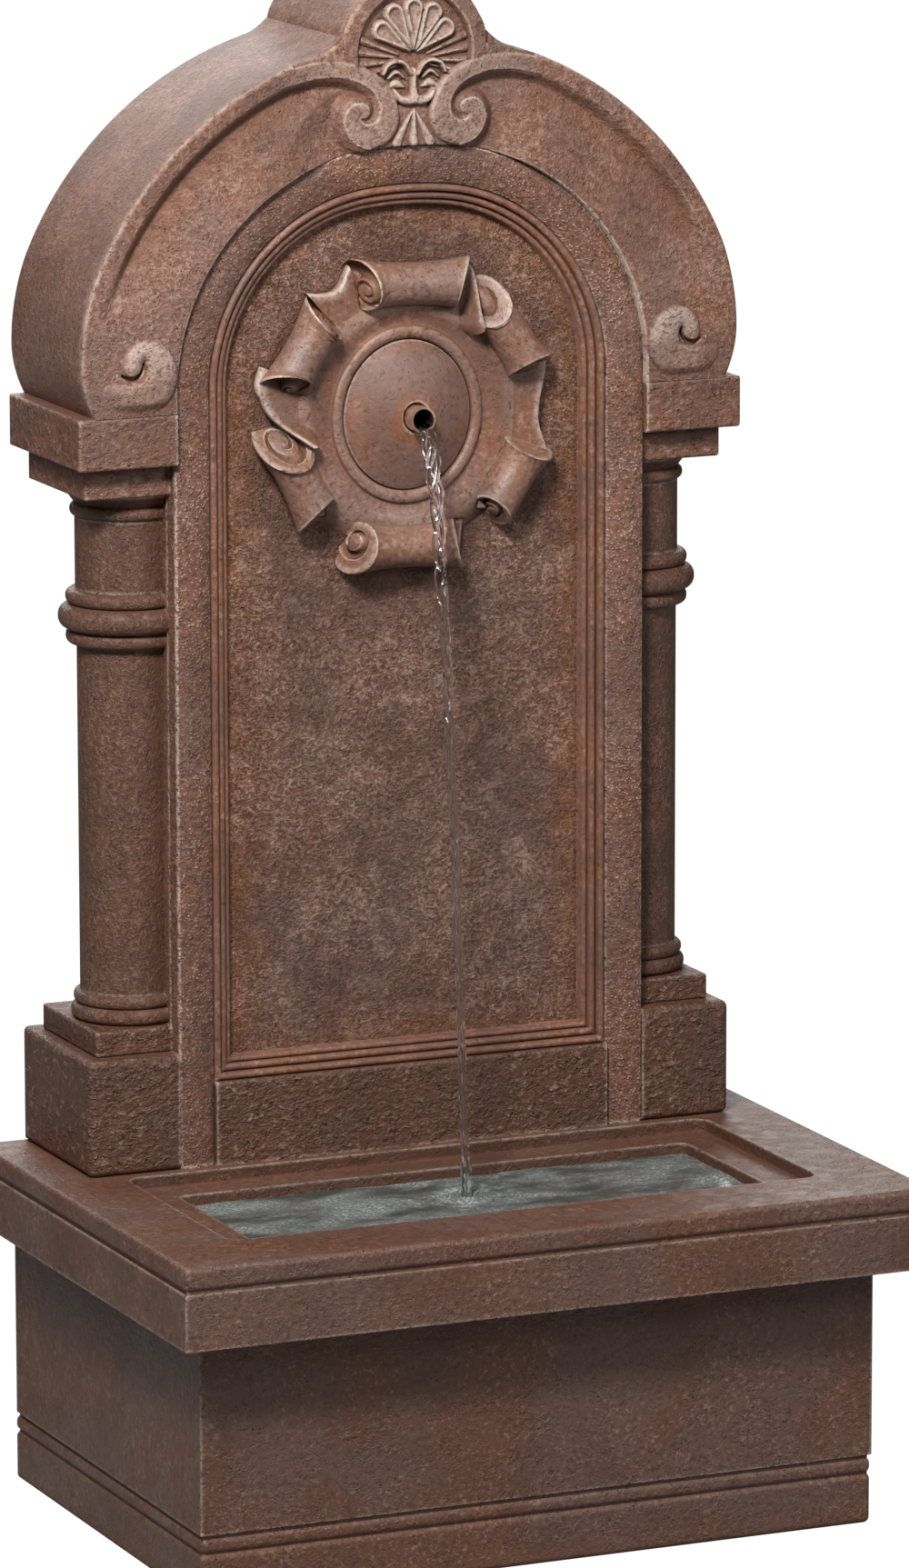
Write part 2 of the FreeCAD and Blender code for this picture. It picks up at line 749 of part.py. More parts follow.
def pump_housing():
    """Motor and impeller chamber in one moulding, outlet spigot on top."""
    body = rod(pump_place(chamber_face), along, pump_radius, chamber_length)
    motor = block(
        motor_face, motor_end, pump_y - pump_radius, pump_y + pump_radius,
        pump_z - pump_radius, pump_z + pump_radius)
    motor = rounded(motor, pump_radius * 0.4, lambda c: near(c.x, (motor_face + motor_end) / 2))
    base = block(
        chamber_face, motor_face + 1, pump_y - pump_radius, pump_y + pump_radius,
        pump_z - pump_radius, pump_z - pump_radius * 0.6)
    outlet = V(0, riser_y, pump_z)
    up = V(0, 0, 1)
    spigot_length = hose_foot() + barb_length - pump_z
    spigot = rod(outlet, up, hose_bore_radius - fit_clearance, spigot_length)
    shoulder = rod(outlet, up, hose_radius, hose_foot() - pump_z)
    body = body.fuse([motor, base, spigot, shoulder])
    chamber = rod(pump_place(chamber_face - 1), along, chamber_radius, chamber_length + 1)
    well = rod(pump_place(motor_face - 1), along, rotor_well_radius, shaft_end - motor_face + 1)
    port = rod(outlet, up, barb_bore_radius, spigot_length + 1)
    return body.cut([chamber, well, port])


def shaft_hole(x0, x1):
    return rod(pump_place(x0), along, pump_shaft_radius + fit_clearance, x1 - x0)


def pump_shaft():
    return rod(pump_place(chamber_face), along, pump_shaft_radius, shaft_end - chamber_face)


def bush(start, radius):
    """Soft bush that holds one end of the still shaft."""
    return rod(pump_place(start), along, radius, bush_length).cut(shaft_hole(start - 1, start + bush_length + 1))


def impeller():
    start = chamber_face + bush_length + rotor_end_play
    end = motor_face - rotor_end_play
    vane_reach = chamber_radius - 2 * rotor_gap
    hub = rod(pump_place(start), along, hub_radius, end - start)
    plate = rod(pump_place(end - impeller_plate), along, vane_reach, impeller_plate)
    vanes = []
    for index in range(vane_count):
        vane = block(
            start, end, pump_y - vane_thickness / 2, pump_y + vane_thickness / 2,
            pump_z, pump_z + vane_reach)
        vane.rotate(pump_place(0), along, index * 360 / vane_count)
        vanes.append(vane)
    return hub.fuse([plate] + vanes).cut(shaft_hole(start - 1, end + 1))


def rotor_magnet():
    start = motor_face - rotor_end_play
    core = rod(pump_place(start), along, rotor_well_radius - rotor_gap, rotor_length)
    return core.cut(shaft_hole(start - 1, start + rotor_length + 1))


def impeller_cover():
    """Front plate of the chamber, with arms that carry the shaft's end."""
    start = chamber_face - cover_thickness
    plate = rod(pump_place(start), along, pump_radius, cover_thickness)
    eye = rod(pump_place(start - 1), along, cover_eye_radius, cover_thickness + 2)
    boss = rod(pump_place(start), along, bush_radius, cover_thickness)
    arms = []
    for index in range(cover_arm_count):
        arm = block(
            start, chamber_face, pump_y - cover_arm / 2, pump_y + cover_arm / 2,
            pump_z, pump_z + cover_eye_radius + 1)
        arm.rotate(pump_place(0), along, index * 360 / cover_arm_count)
        arms.append(arm)
    return plate.cut(eye).fuse([boss] + arms)


def strainer():
    """Slotted intake cage that pulls off the front of the pump."""
    x0 = dial_face
    x1 = chamber_face - cover_thickness
    half = pump_radius
    inner = half - strainer_wall
    cage = block(x0, x1, pump_y - half, pump_y + half, pump_z - half, pump_z + half)
    cage = rounded(cage, half * 0.4, lambda c: near(c.x, (x0 + x1) / 2))
    inside = x0 + strainer_wall
    hollow = block(inside, x1 + 1, pump_y - inner, pump_y + inner, pump_z - inner, pump_z + inner)
    hollow = rounded(hollow, inner * 0.38, lambda c: near(c.x, (inside + x1 + 1) / 2))
    cage = cage.cut(hollow)
    pitch = (strainer_length - 3 * strainer_wall) / slot_count
    slots = []
    for index in range(slot_count):
        x = x0 + 1.5 * strainer_wall + pitch * (index + 0.5)
        slots.append(block(
            x - slot_width / 2, x + slot_width / 2, pump_y - half - 1, pump_y + half + 1,
            pump_z - half / 2, pump_z + half / 2))
    pivot = rod(pump_place(x0 - dial_thickness), along, dial_pivot_radius, dial_thickness + strainer_wall)
    return cage.cut(slots).fuse(pivot)


def flow_dial():
    """Knob on the strainer's pivot, with a raised pointer."""
    x0 = dial_face - dial_thickness
    knob = rod(pump_place(x0), along, dial_radius, dial_thickness - dial_gap)
    pointer = block(
        x0 - pointer_height, x0 + dial_thickness / 2, pump_y - pointer_width / 2, pump_y + pointer_width / 2,
        pump_z + dial_pivot_radius + 1, pump_z + dial_radius * 0.9)
    bore = rod(
        pump_place(x0 - pointer_height - 1), along, dial_pivot_radius + fit_clearance,
        dial_thickness + pointer_height + 2)
    return knob.fuse(pointer).cut(bore)


def cable_gland():
    place = pump_place(motor_end, 0, pump_radius * 0.4)
    body = Part.makeCone(gland_radius, gland_radius * 0.7, gland_length, place, along)
    return body.cut(rod(place, along, cord_hole_radius, gland_length + 1))


def suction_cup(x, side):
    y = pump_y + side * (pump_radius - cup_radius)
    return Part.makeCone(cup_radius, cup_radius * 0.45, pump_foot, V(x, y, tank_floor), V(0, 0, 1))


save("pedestal", pedestal())
save("bowl", bowl())
save("drain_plug", drain_plug())
save_pair("plinth", side_member(plinth_width, plinth_depth, 0, 0, plinth_height, plinth_round))
save_pair("plinth_step", side_member(
    step_width, step_depth, step_back_inset, plinth_height, step_height, edge_round))
save_pair("column_base", column_base())
save_pair("column_shaft", disc_course(shaft_radius, shaft_foot, shaft_height, 0))
save_pair("column_collar", column_collar())
save_pair("column_drum", disc_course(drum_radius, drum_foot, drum_height, 0))
save_pair("column_necking", column_necking())
save_pair("abacus", side_member(
    abacus_width, abacus_depth, abacus_back_inset, abacus_foot, abacus_height, edge_round))
save_pair("capital_block", side_member(
    capital_width, capital_depth, 0, capital_foot, capital_height, edge_round))
save("back_panel", back_panel())
save_pair("pilaster", pilaster())
save("arch_band", arch_band())
save("inner_moulding", inner_moulding())
save("apron", apron())
save_pair("outer_arch", outer_arch())
save("crest", crest())
save("cartouche", cartouche())
save("spout_disc", disc())
save("spout_tube", spout_tube())
save("spout_nut", spout_nut())
save("spout_elbow", elbow())
save("riser_hose", riser_hose())
save("hose_clamp_upper", hose_clamp(hose_top() - barb_length / 2 - clamp_width / 2))
save("hose_clamp_lower", hose_clamp(hose_foot() + barb_length / 2 - clamp_width / 2))
save("duct_stopper", duct_stopper())
save("panel_dowel_left", dowel(-1, dowel_radius))
save("panel_dowel_right", dowel(1, dowel_radius))
save("pump_housing", pump_housing())
save("pump_shaft", pump_shaft())
save("shaft_bush_front", bush(chamber_face, bush_radius))
save("shaft_bush_rear", bush(shaft_end - bush_length, rotor_well_radius - fit_clearance))
save("impeller", impeller())
save("rotor_magnet", rotor_magnet())
save("impeller_cover", impeller_cover())
save("strainer", strainer())
save("flow_dial", flow_dial())
save("cable_gland", cable_gland())
for side, hand in ((-1, "front"), (1, "rear")):
    save("suction_foot_left_" + hand, suction_cup(chamber_face + cup_radius * 0.6, side))
    save("suction_foot_right_" + hand, suction_cup(motor_end - cup_radius, side))
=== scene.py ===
import math
import bmesh
import bpy
import numpy as np
from bpy.props import FloatProperty, FloatVectorProperty, PointerProperty
from mathutils import Euler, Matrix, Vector


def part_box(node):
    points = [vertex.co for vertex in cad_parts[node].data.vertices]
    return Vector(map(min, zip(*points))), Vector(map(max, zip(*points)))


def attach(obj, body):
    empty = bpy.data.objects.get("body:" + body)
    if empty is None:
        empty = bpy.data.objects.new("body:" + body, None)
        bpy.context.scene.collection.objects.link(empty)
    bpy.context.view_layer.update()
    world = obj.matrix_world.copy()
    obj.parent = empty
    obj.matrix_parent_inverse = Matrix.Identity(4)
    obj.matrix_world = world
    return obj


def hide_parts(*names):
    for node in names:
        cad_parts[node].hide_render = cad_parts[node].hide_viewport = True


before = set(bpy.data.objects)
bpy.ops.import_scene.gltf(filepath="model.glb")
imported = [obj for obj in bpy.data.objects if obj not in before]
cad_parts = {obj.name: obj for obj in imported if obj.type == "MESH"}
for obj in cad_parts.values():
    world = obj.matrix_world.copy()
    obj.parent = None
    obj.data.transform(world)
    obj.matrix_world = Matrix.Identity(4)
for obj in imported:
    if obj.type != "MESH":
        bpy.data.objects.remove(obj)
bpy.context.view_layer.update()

bl_info = {
    "name": "Garden Wall Fountain",
    "version": (1, 0, 0),
    "blender": (4, 5, 0),
    "location": "View3D > Sidebar > Fountain",
    "description": "Dresses a cast stone wall fountain: finishes, carving, water and studio",
    "category": "Object",
}

SIDES = {"left": -1, "right": 1}

# The frame's three-centred arch: how far it springs above the big arch's foot, how far the centres of its
# shoulders lie off the middle, and how much larger the crown's radius is than theirs
SPRINGING_COVER = 0.016
SHOULDER_OFFSET = 0.019
CROWN_FLATNESS = 0.174

# Across the beads of the moulding, from the frame to the field
MOULDING_WIDTH = 0.021

GRAVITY = 9.81
WATER_IOR = 1.33

# Smooth shading stops at edges that turn by more than these
STONE_EDGE = math.radians(70)
WATER_EDGE = math.radians(60)

STONE_PAIRS = {
    "stone_low": ("plinth", "plinth_step"),
    "stone_block": ("abacus", "capital_block"),
    "stone_turned": ("column_base", "column_shaft", "column_collar", "column_drum", "column_necking"),
}
CAST_STONES = ("pedestal", "bowl")


def colour_property(name, description, default):
    return FloatVectorProperty(
        name=name, description=description, default=default,
        subtype="COLOR", size=3, min=0.0, max=1.0)


def length_property(name, description, default):
    return FloatProperty(
        name=name, description=description, default=default, unit="LENGTH", min=0.0)


def power_property(name, description, default):
    return FloatProperty(
        name=name, description=description, default=default, unit="POWER", min=0.0)


class StoneSettings(bpy.types.PropertyGroup):
    body: colour_property("Body", "Main brown of the cast stone", (0.172, 0.0725, 0.0435))
    dark: colour_property("Dark", "Darker brown of its cloudy patches", (0.110, 0.054, 0.039))
    # This rust brown is also laid into hollows as painted shade
    rust: colour_property("Rust", "Warm brown that gathers in hollows", (0.190, 0.068, 0.026))
    bloom: colour_property("Bloom", "Grey violet bloom on smooth and side faces", (0.165, 0.108, 0.094))
    # On the high grains this pale colour is also painted glint
    worn: colour_property("Worn", "Pale brushed colour of edges and high grains", (0.42, 0.33, 0.275))
    # This near-black colours the grain's pits and lows, and is painted shade in the deepest corners
    pits_and_shade: colour_property("Recess", "Colour of the deepest corners", (0.048, 0.022, 0.013))
    # An even darker brown mixed in by each finish's own share: much on the low blocks and turned stones,
    # some on the cast ones, a little on the capitals
    darkening: colour_property("Soil", "Dark brown of the lower and turned stones", (0.052, 0.0205, 0.0095))
    # Dark brown of the ledge's risers: wet stone, deepened with painted shade in the slot
    soaked_and_shaded: colour_property("Soaked", "Dark brown of the wet ledge round the pool", (0.024, 0.009, 0.004))
    grain: length_property("Grain", "Height of the rough grain", 0.0012)


class StageSettings(bpy.types.PropertyGroup):
    key: power_property("Key light", "Power of the key light", 148.0)
    fill: power_property("Fill light", "Power of the fill light", 44.0)
    side: power_property("Side light", "Power of the light from the left", 30.0)
    rear: power_property("Rear light", "Power of the light behind", 75.0)
    air: FloatProperty(name="Room light", description="Strength of the room's even light", default=0.07)


class Signal:
    """One output of a material's nodes. Its sums, differences and products add Math nodes."""

    def __init__(self, graph, socket):
        self.graph = graph
        self.socket = socket

    def math(self, operation, *others):
        values = dict(enumerate((self, *others)))
        return self.graph.add("ShaderNodeMath", {"operation": operation}, values)

    def __add__(self, other):
        return self.math("ADD", other)

    def __radd__(self, other):
        return self.math("ADD", other)

    def __sub__(self, other):
        return self.math("SUBTRACT", other)

    def __rsub__(self, other):
        return self.graph.add("ShaderNodeMath", {"operation": "SUBTRACT"}, {0: other, 1: self})

    def __mul__(self, other):
        return self.math("MULTIPLY", other)

    def __rmul__(self, other):
        return self.math("MULTIPLY", other)

    def span(self, low, high):
        """0 below low, 1 above high and smooth between, also with low above high."""
        if low > high:
            return 1 - self.span(high, low)
        settings = {"interpolation_type": "SMOOTHSTEP"}
        inputs = {"Value": self, "From Min": low, "From Max": high}
        return self.graph.add("ShaderNodeMapRange", settings, inputs)


class Graph:
    """The nodes of one material."""

    def __init__(self, name):
        self.material = bpy.data.materials.new(name)
        self.material.use_nodes = True
        self.tree = self.material.node_tree
        self.tree.nodes.clear()

    def add(self, kind, settings, inputs, output=0):
        node = self.tree.nodes.new(kind)
        for key, value in settings.items():
            setattr(node, key, value)
        for key, value in inputs.items():
            if isinstance(value, Signal):
                self.tree.links.new(value.socket, node.inputs[key])
            else:
                node.inputs[key].default_value = value
        return Signal(self, node.outputs[output]) if len(node.outputs) else None

    def mix(self, amount, first, second):
        """The first colour, turning into the second as the amount goes from 0 to 1."""
        settings = {"data_type": "RGBA", "clamp_factor": True}
        inputs = {0: amount, 6: opaque(first), 7: opaque(second)}
        return self.add("ShaderNodeMix", settings, inputs, 2)

    def place(self, stretch=(1.0, 1.0, 1.0)):
        """Where a point lies, in metres, with its pattern stretched along the three axes."""
        here = self.add("ShaderNodeTexCoord", {}, {}, "Object")
        return self.add("ShaderNodeMapping", {}, {"Vector": here, "Scale": stretch})

    def axes(self, vector):
        """The three numbers of a vector."""
        split = self.add("ShaderNodeSeparateXYZ", {}, {0: vector})
        return [Signal(self, output) for output in split.socket.node.outputs]

    def facing(self):
        return self.add("ShaderNodeNewGeometry", {}, {}, "Normal")

    def trait(self, name):
        """A number that the mesh stores for each of its points."""
        return self.add("ShaderNodeAttribute", {"attribute_name": name}, {}, "Fac")

    def openness(self, distance, **settings):
        """1 where nothing is near, and towards 0 in corners and hollows."""
        settings["samples"] = 6
        return self.add("ShaderNodeAmbientOcclusion", settings, {"Distance": distance}, "AO")

    def noise(self, place, scale, detail=3.0, roughness=0.55, distortion=0.0):
        inputs = {
            "Vector": place, "Scale": scale, "Detail": detail,
            "Roughness": roughness, "Distortion": distortion,
        }
        return self.add("ShaderNodeTexNoise", {}, inputs)

    def cells(self, place, scale):
        return self.add("ShaderNodeTexVoronoi", {}, {"Vector": place, "Scale": scale})

    def bump(self, height, distance, strength=1.0, under=None):
        inputs = {"Height": height, "Distance": distance, "Strength": strength}
        if under is not None:
            inputs["Normal"] = under
        return self.add("ShaderNodeBump", {}, inputs)

    def finish(self, inputs):
        shader = self.add("ShaderNodeBsdfPrincipled", {}, inputs)
        self.add("ShaderNodeOutputMaterial", {}, {"Surface": shader})
        return self.material


def opaque(colour):
    return colour if isinstance(colour, Signal) else (*colour[:3], 1.0)


def ridges(field, width):
    """Thin raised lines along the middle value of a noise."""
    away = (field - 0.5).math("ABSOLUTE")
    return away.span(width, 0.0)


def grain(graph, place, crinkle, pebble):
    """The height of the stone's rough surface, and the value about which it varies."""
    worm = ridges(graph.noise(place, 150.0, 2.5, 0.55, 0.9), 0.085)
    thread = ridges(graph.noise(place, 310.0, 2.0, 0.5, 0.6), 0.10)
    lumps = graph.noise(place, 190.0, 3.0, 0.6, 0.4)
    grit = graph.noise(place, 620.0, 3.0, 0.7)
    bead = graph.cells(place, 300.0).span(0.42, 0.12)
    height = (worm * 0.31 + thread * 0.22) * crinkle + bead * (0.35 * pebble) + lumps + grit * 0.32
    return height, 0.66 + 0.13 * crinkle + 0.08 * pebble


def stone(
        name, rough, flecks_and_glints, rust, stretch=(1.0, 1.0, 1.0), bloom=0.3, wear=0.6, crinkle=0.6, pebble=0.0,
        darkening=0.0, matt=0.34, reach=0.035, solid=True, stain=None, tint="rust"):
    """Cast stone. Rough, stretch, crinkle and pebble shape its grain. Flecks, rust, bloom, wear and
    darkening say how much of each tint shows, the flecks being partly dry-brushed wear and partly painted
    glints, and stain where one more tint does. Matt is how dull it is, reach how far the painted shade of
    its hollows spreads, and solid whether the edges of its own faces wear."""
    look = bpy.context.scene.fountain_stone
    graph = Graph(name)
    here = graph.place()
    cloud = graph.noise(here, 11.0, 5.0, 0.62)
    patch = graph.noise(here, 30.0, 4.0, 0.6, 0.4)
    blotch = graph.noise(here, 6.0, 4.0, 0.6, 0.3)
    grain_place = graph.place(stretch)
    height, middle = grain(graph, grain_place, crinkle, pebble)
    thin = graph.noise(here, 60.0, 2.0, 0.5)
    pit = graph.cells(grain_place, 230.0).span(0.26, 0.06) * thin.span(0.52, 0.62)
    rough_here = thin.span(0.30, 0.58) * 0.65 + 0.35
    # How open each point is: closed-in corners and hollows get painted shade
    shade_openness = graph.openness(reach)
    relief, brush, seam = (graph.trait(trait) for trait in ("relief", "brush", "seam"))
    edge = relief.span(0.03, 0.14) * (1 - seam)
    if solid:
        edge = edge + graph.openness(0.005, inside=True, only_local=True).span(0.80, 0.45)
    # Painted shade: from the openness, from grooves in the mesh, and from carving marked below 0
    hollow = shade_openness.span(0.82, 0.30) + relief.span(-0.03, -0.18) * 0.6 + brush.span(-0.05, -0.80) * 0.7
    high = height.span(middle + 0.05, middle + 0.22) * (cloud.span(0.62, 0.40) * 0.7 + 0.3)
    rubbed = height.span(middle - 0.24, middle + 0.04) * (patch.span(0.30, 0.54) * 0.6 + 0.4)

    # The layers of colour from the body up: how much of each shows, and its colour
    layers = [
        (cloud.span(0.36, 0.64) * 0.9, look.dark),
        (patch.span(0.48, 0.70) * rust, look.rust),
        (blotch.span(0.44, 0.62) * bloom, look.bloom),
        # Makes the whole stone darker by the finish's share
        (darkening, look.darkening),
    ]
    if stain is not None:
        layers.append((stain(graph, here) * (patch.span(0.30, 0.62) * 0.4 + 0.6), getattr(look, tint)))
    layers += [
        (height.span(middle - 0.02, middle - 0.20) * 0.60, look.pits_and_shade),
        # Painted shade in the hollows: rust brown, partly the rust that gathers there, and near-black in
        # the deepest
        (hollow * 0.45, look.rust),
        (hollow.span(0.55, 1.0) * 0.55, look.pits_and_shade),
        # Pale flecks on the high grains: partly dry-brushed wear, partly painted glints
        (high * flecks_and_glints * (1 - hollow), look.worn),
        (edge * rubbed * wear, look.worn),
        (brush * height.span(middle - 0.28, middle + 0.10) * 0.72, look.worn),
        (pit * 0.8, look.pits_and_shade),
    ]
    colour = look.body
    for amount, layer in layers:
        colour = graph.mix(amount, colour, layer)

    surface = (height - middle) * rough_here * (1 - brush * 0.5) - pit * 0.6
    rounded = graph.add("ShaderNodeBevel", {"samples": 4}, {"Radius": 0.0024})
    soft = graph.mix(seam, rounded, graph.facing())
    normal = graph.bump(surface, look.grain * rough, 1.0, soft)
    sheen = matt + cloud * 0.16 + hollow * 0.25
    return graph.finish({
        "Base Color": colour, "Roughness": sheen, "Normal": normal, "Specular IOR Level": 0.4,
    })


def spout_halo(graph, here):
    """1 round the copper tube, fading over the disc, and lower under the tube than over it."""
    tube_x, tube_z = middle_of("spout_tube")
    x, _, z = graph.axes(here)
    x, z = x - tube_x, z - tube_z + 0.004
    out = (x * x + z * z).math("SQRT")
    wander = graph.noise(here, 30.0, 3.0, 0.6)
    return (out + (wander - 0.5) * 0.02).span(0.030, 0.010)


def field_border(graph, here):
    """1 along the edges of the sunk field, fading out over its middle."""
    low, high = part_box("inner_moulding")
    half = high.x - MOULDING_WIDTH
    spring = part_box("outer_arch_right")[0].z + SPRINGING_COVER
    x, _, z = graph.axes(here)
    above = (z - spring).math("MAXIMUM", 0.0)
    out = (x * x + above * above).math("SQRT")
    side = (half - out).math("MINIMUM", (z - low.z) * 0.8)
    wander = graph.noise(here, 14.0, 4.0, 0.6)
    return (side + (wander - 0.5) * 0.05).span(0.055, 0.0)


def wet_and_shaded_risers(graph, here):
    """Up to most on the risers of the sunk ledge and of the trough, where the bowl stays wet and in shade:
    partly wet stone, partly painted shade.
    """
    low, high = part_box("bowl")
    x, y, z = graph.axes(here)
    # From the bowl's edge in to the risers, from its rim down to their foot, and how far back they reach
    margin, deep, back, most = 0.0735, 0.045, 0.080, 0.85
    below = (z - (high.z - 0.0015)).span(0.0005, -0.0005) * (z - (high.z - deep)).span(0.0, 0.002)
    upright = graph.axes(graph.facing())[2].math("ABSOLUTE").span(0.75, 0.45)
    beside = (x.math("ABSOLUTE") - (high.x - margin)).span(0.002, 0.0)
    before = (y - (low.y + margin)).span(0.0, 0.002)
    return below * upright * beside * before * (y - back).span(0.002, 0.0) * most


def metal(name, colour, dull, worn):
    """Drawn metal, streaked along y, tarnished in patches, with painted shade inside its bores."""
    graph = Graph(name)
    streak = graph.noise(graph.place((1.0, 8.0, 1.0)), 260.0, 3.0, 0.6)
    tarnish = graph.noise(graph.place(), 95.0, 4.0, 0.6).span(0.45, 0.70)
    tint = graph.mix(tarnish * worn, colour, shaded(colour, 0.35))
    # Painted shade: near-black inside the bores and other closed-in places
    tint = graph.mix(graph.openness(0.030).span(0.50, 0.05) * 0.92, tint, shaded(colour, 0.04))
    rough = dull + tarnish * 0.25 + streak * 0.10
    return graph.finish({
        "Base Color": tint, "Metallic": 1.0, "Roughness": rough,
        "Normal": graph.bump(streak, 0.00008, 0.5),
    })


def shaded(colour, share):
    return tuple(share * part for part in colour)


def moulded(name, colour, rough, grain):
    """Plastic or rubber with the fine grain of its mould."""
    graph = Graph(name)
    here = graph.place()
    fine = graph.noise(here, 900.0, 2.0, 0.5)
    smear = graph.noise(here, 34.0, 3.0, 0.55).span(0.40, 0.72)
    tint = graph.mix(smear * 0.35, colour, tuple(min(1.0, c * 1.5 + 0.01) for c in colour))
    return graph.finish({
        "Base Color": tint, "Roughness": rough + smear * 0.12,
        "Normal": graph.bump(fine, grain, 0.6),
    })


FINISHES = {
    "stone_rough_field": dict(
        rough=3.8, stretch=(1.0, 1.0, 1.2), flecks_and_glints=0.46, bloom=0.30, rust=0.20, crinkle=1.0,
        stain=field_border),
    "stone_smooth": dict(
        rough=0.6, flecks_and_glints=0.30, bloom=0.20, rust=0.40, crinkle=0.3, reach=0.012, solid=False),
    "stone_speckled": dict(
        rough=2.2, flecks_and_glints=0.60, bloom=0.30, rust=0.40, wear=0.9, crinkle=0.2, pebble=1.0, solid=False),
    "stone_block": dict(
        rough=3.2, stretch=(0.72, 0.72, 0.90), flecks_and_glints=0.40, bloom=0.25, rust=0.35, wear=1.0,
        crinkle=0.1, pebble=0.3, darkening=0.14),
    "stone_low": dict(
        rough=4.4, stretch=(0.72, 0.72, 0.90), flecks_and_glints=0.38, bloom=0.20, rust=0.50, wear=0.9,
        crinkle=0.1, pebble=0.2, darkening=0.68),
    "stone_turned": dict(
        rough=2.2, stretch=(1.3, 1.3, 1.0), flecks_and_glints=0.16, bloom=0.35, rust=0.40, wear=0.9,
        crinkle=0.5, darkening=0.64),
    # The pedestal and bowl, with wet stone and painted shade on the ledge's risers
    "stone_cast": dict(
        rough=1.8, flecks_and_glints=0.25, bloom=0.55, rust=0.30, wear=0.7, crinkle=0.15, pebble=0.3, darkening=0.46,
        stain=wet_and_shaded_risers, tint="soaked_and_shaded"),
    "stone_disc": dict(
        rough=0.5, flecks_and_glints=0.15, bloom=0.55, rust=0.15, crinkle=0.3, matt=0.46, solid=False,
        stain=spout_halo),
    "stone_carved": dict(
        rough=0.7, flecks_and_glints=0.25, bloom=0.45, rust=0.30, wear=0.9, crinkle=0.3, solid=False),
    "stone_relief": dict(rough=1.6, flecks_and_glints=0.28, rust=0.30, wear=0.9, solid=False),
}


def finish(name):
    """The named stone, made the first time it is asked for."""
    return bpy.data.materials.get(name) or stone(name, **FINISHES[name])


def dress(node, material):
    """Gives a carried-over solid its finish."""
    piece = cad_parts[node]
    piece.data.materials.clear()
    piece.data.materials.append(material)


def middle_of(node):
    """Where the middle of a solid's box lies in x and z."""
    low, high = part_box(node)
    return (low.x + high.x) / 2, (low.z + high.z) / 2


def radius_of(node):
    """Half the width of a round solid."""
    low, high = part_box(node)
    return (high.x - low.x) / 2


def smooth(value):
    """Eases a share from 0 to 1 in and out."""
    value = np.clip(value, 0.0, 1.0)
    return value * value * (3.0 - 2.0 * value)


def grid_faces(rows, columns, start=0, closed=False):
    """Quads between neighbouring rows of points; closed joins the last column to the first."""
    faces = []
    last = columns if closed else columns - 1
    for row in range(rows - 1):
        for column in range(last):
            a = start + row * columns + column
            b = start + row * columns + (column + 1) % columns
            faces.append((a, b, b + columns, a + columns))
    return faces


def end_faces(rows, columns, start=0):
    """The two faces that close the first and the last loop of a grid."""
    last = start + (rows - 1) * columns
    return [tuple(range(first, first + columns)) for first in (start, last)]


def store(mesh, trait, values):
    """Keeps a number for each point, for the materials to read."""
    layer = mesh.attributes.new(trait, "FLOAT", "POINT")
    layer.data.foreach_set("value", np.array(values, np.float32))


def mark_relief(mesh, passes=2):
    """Stores how far each point stands out from its neighbours: above 0 on edges, below 0 in grooves."""
    count = len(mesh.vertices)
    points = np.zeros(count * 3)
    mesh.vertices.foreach_get("co", points)
    points = points.reshape(-1, 3)
    normals = np.zeros(count * 3)
    mesh.vertices.foreach_get("normal", normals)
    normals = normals.reshape(-1, 3)
    pairs = np.zeros(len(mesh.edges) * 2, dtype=np.int64)
    mesh.edges.foreach_get("vertices", pairs)
    first, second = pairs.reshape(-1, 2).T
    step = points[second] - points[first]
    span = np.maximum(np.linalg.norm(step, axis=1), 1e-6)
    step = step / span[:, None]
    bend = np.zeros(count)
    met = np.zeros(count)
    np.add.at(bend, first, -(normals[first] * step).sum(1))
    np.add.at(bend, second, (normals[second] * step).sum(1))
    np.add.at(met, first, 1.0)
    np.add.at(met, second, 1.0)
    met = np.maximum(met, 1.0)
    bend = bend / met
    for _ in range(passes):
        spread = np.zeros(count)
        np.add.at(spread, first, bend[second])
        np.add.at(spread, second, bend[first])
        bend = 0.5 * bend + 0.5 * spread / met
    store(mesh, "relief", bend)


def still_piece(name, points, faces, material, sharp, traits):
    """One smooth piece that stands still, with sharp edges where it turns by more than the angle given."""
    mesh = bpy.data.meshes.new(name)
    mesh.from_pydata([tuple(p) for p in points], [], faces)
    for trait, values in traits.items():
        store(mesh, trait, values)
    work = bmesh.new()
    work.from_mesh(mesh)
    bmesh.ops.remove_doubles(work, verts=work.verts, dist=1e-6)
    bmesh.ops.recalc_face_normals(work, faces=work.faces)
    work.to_mesh(mesh)
    work.free()
    mesh.shade_smooth()
    mesh.set_sharp_from_angle(angle=sharp)
    mesh.materials.append(material)
    piece = bpy.data.objects.new(name, mesh)
    bpy.context.scene.collection.objects.link(piece)
    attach(piece, "fountain")
    return piece


def carved(name, points, faces, material, replaced, **traits):
    """Makes one piece of stone for the named solids. Its traits are brush, which pales it with wear above
    0 and lays painted shade below 0, and seam, which keeps its edges from wearing."""
    piece = still_piece(name, points, faces, material, STONE_EDGE, traits)
    mark_relief(piece.data)
    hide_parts(*replaced)


def line_depth(x, z, line):
    """How deep each point lies inside a tapered line of rows x, z and half width; below 0 outside."""
    best = np.full(x.shape, -1.0)
    for (ax, az, aw), (bx, bz, bw) in zip(line, line[1:]):
        step_x, step_z = bx - ax, bz - az
        share = ((x - ax) * step_x + (z - az) * step_z) / (step_x ** 2 + step_z ** 2)
        share = np.clip(share, 0.0, 1.0)
        away = np.hypot(x - ax - share * step_x, z - az - share * step_z)
        best = np.maximum(best, aw + share * (bw - aw) - away)
    return best


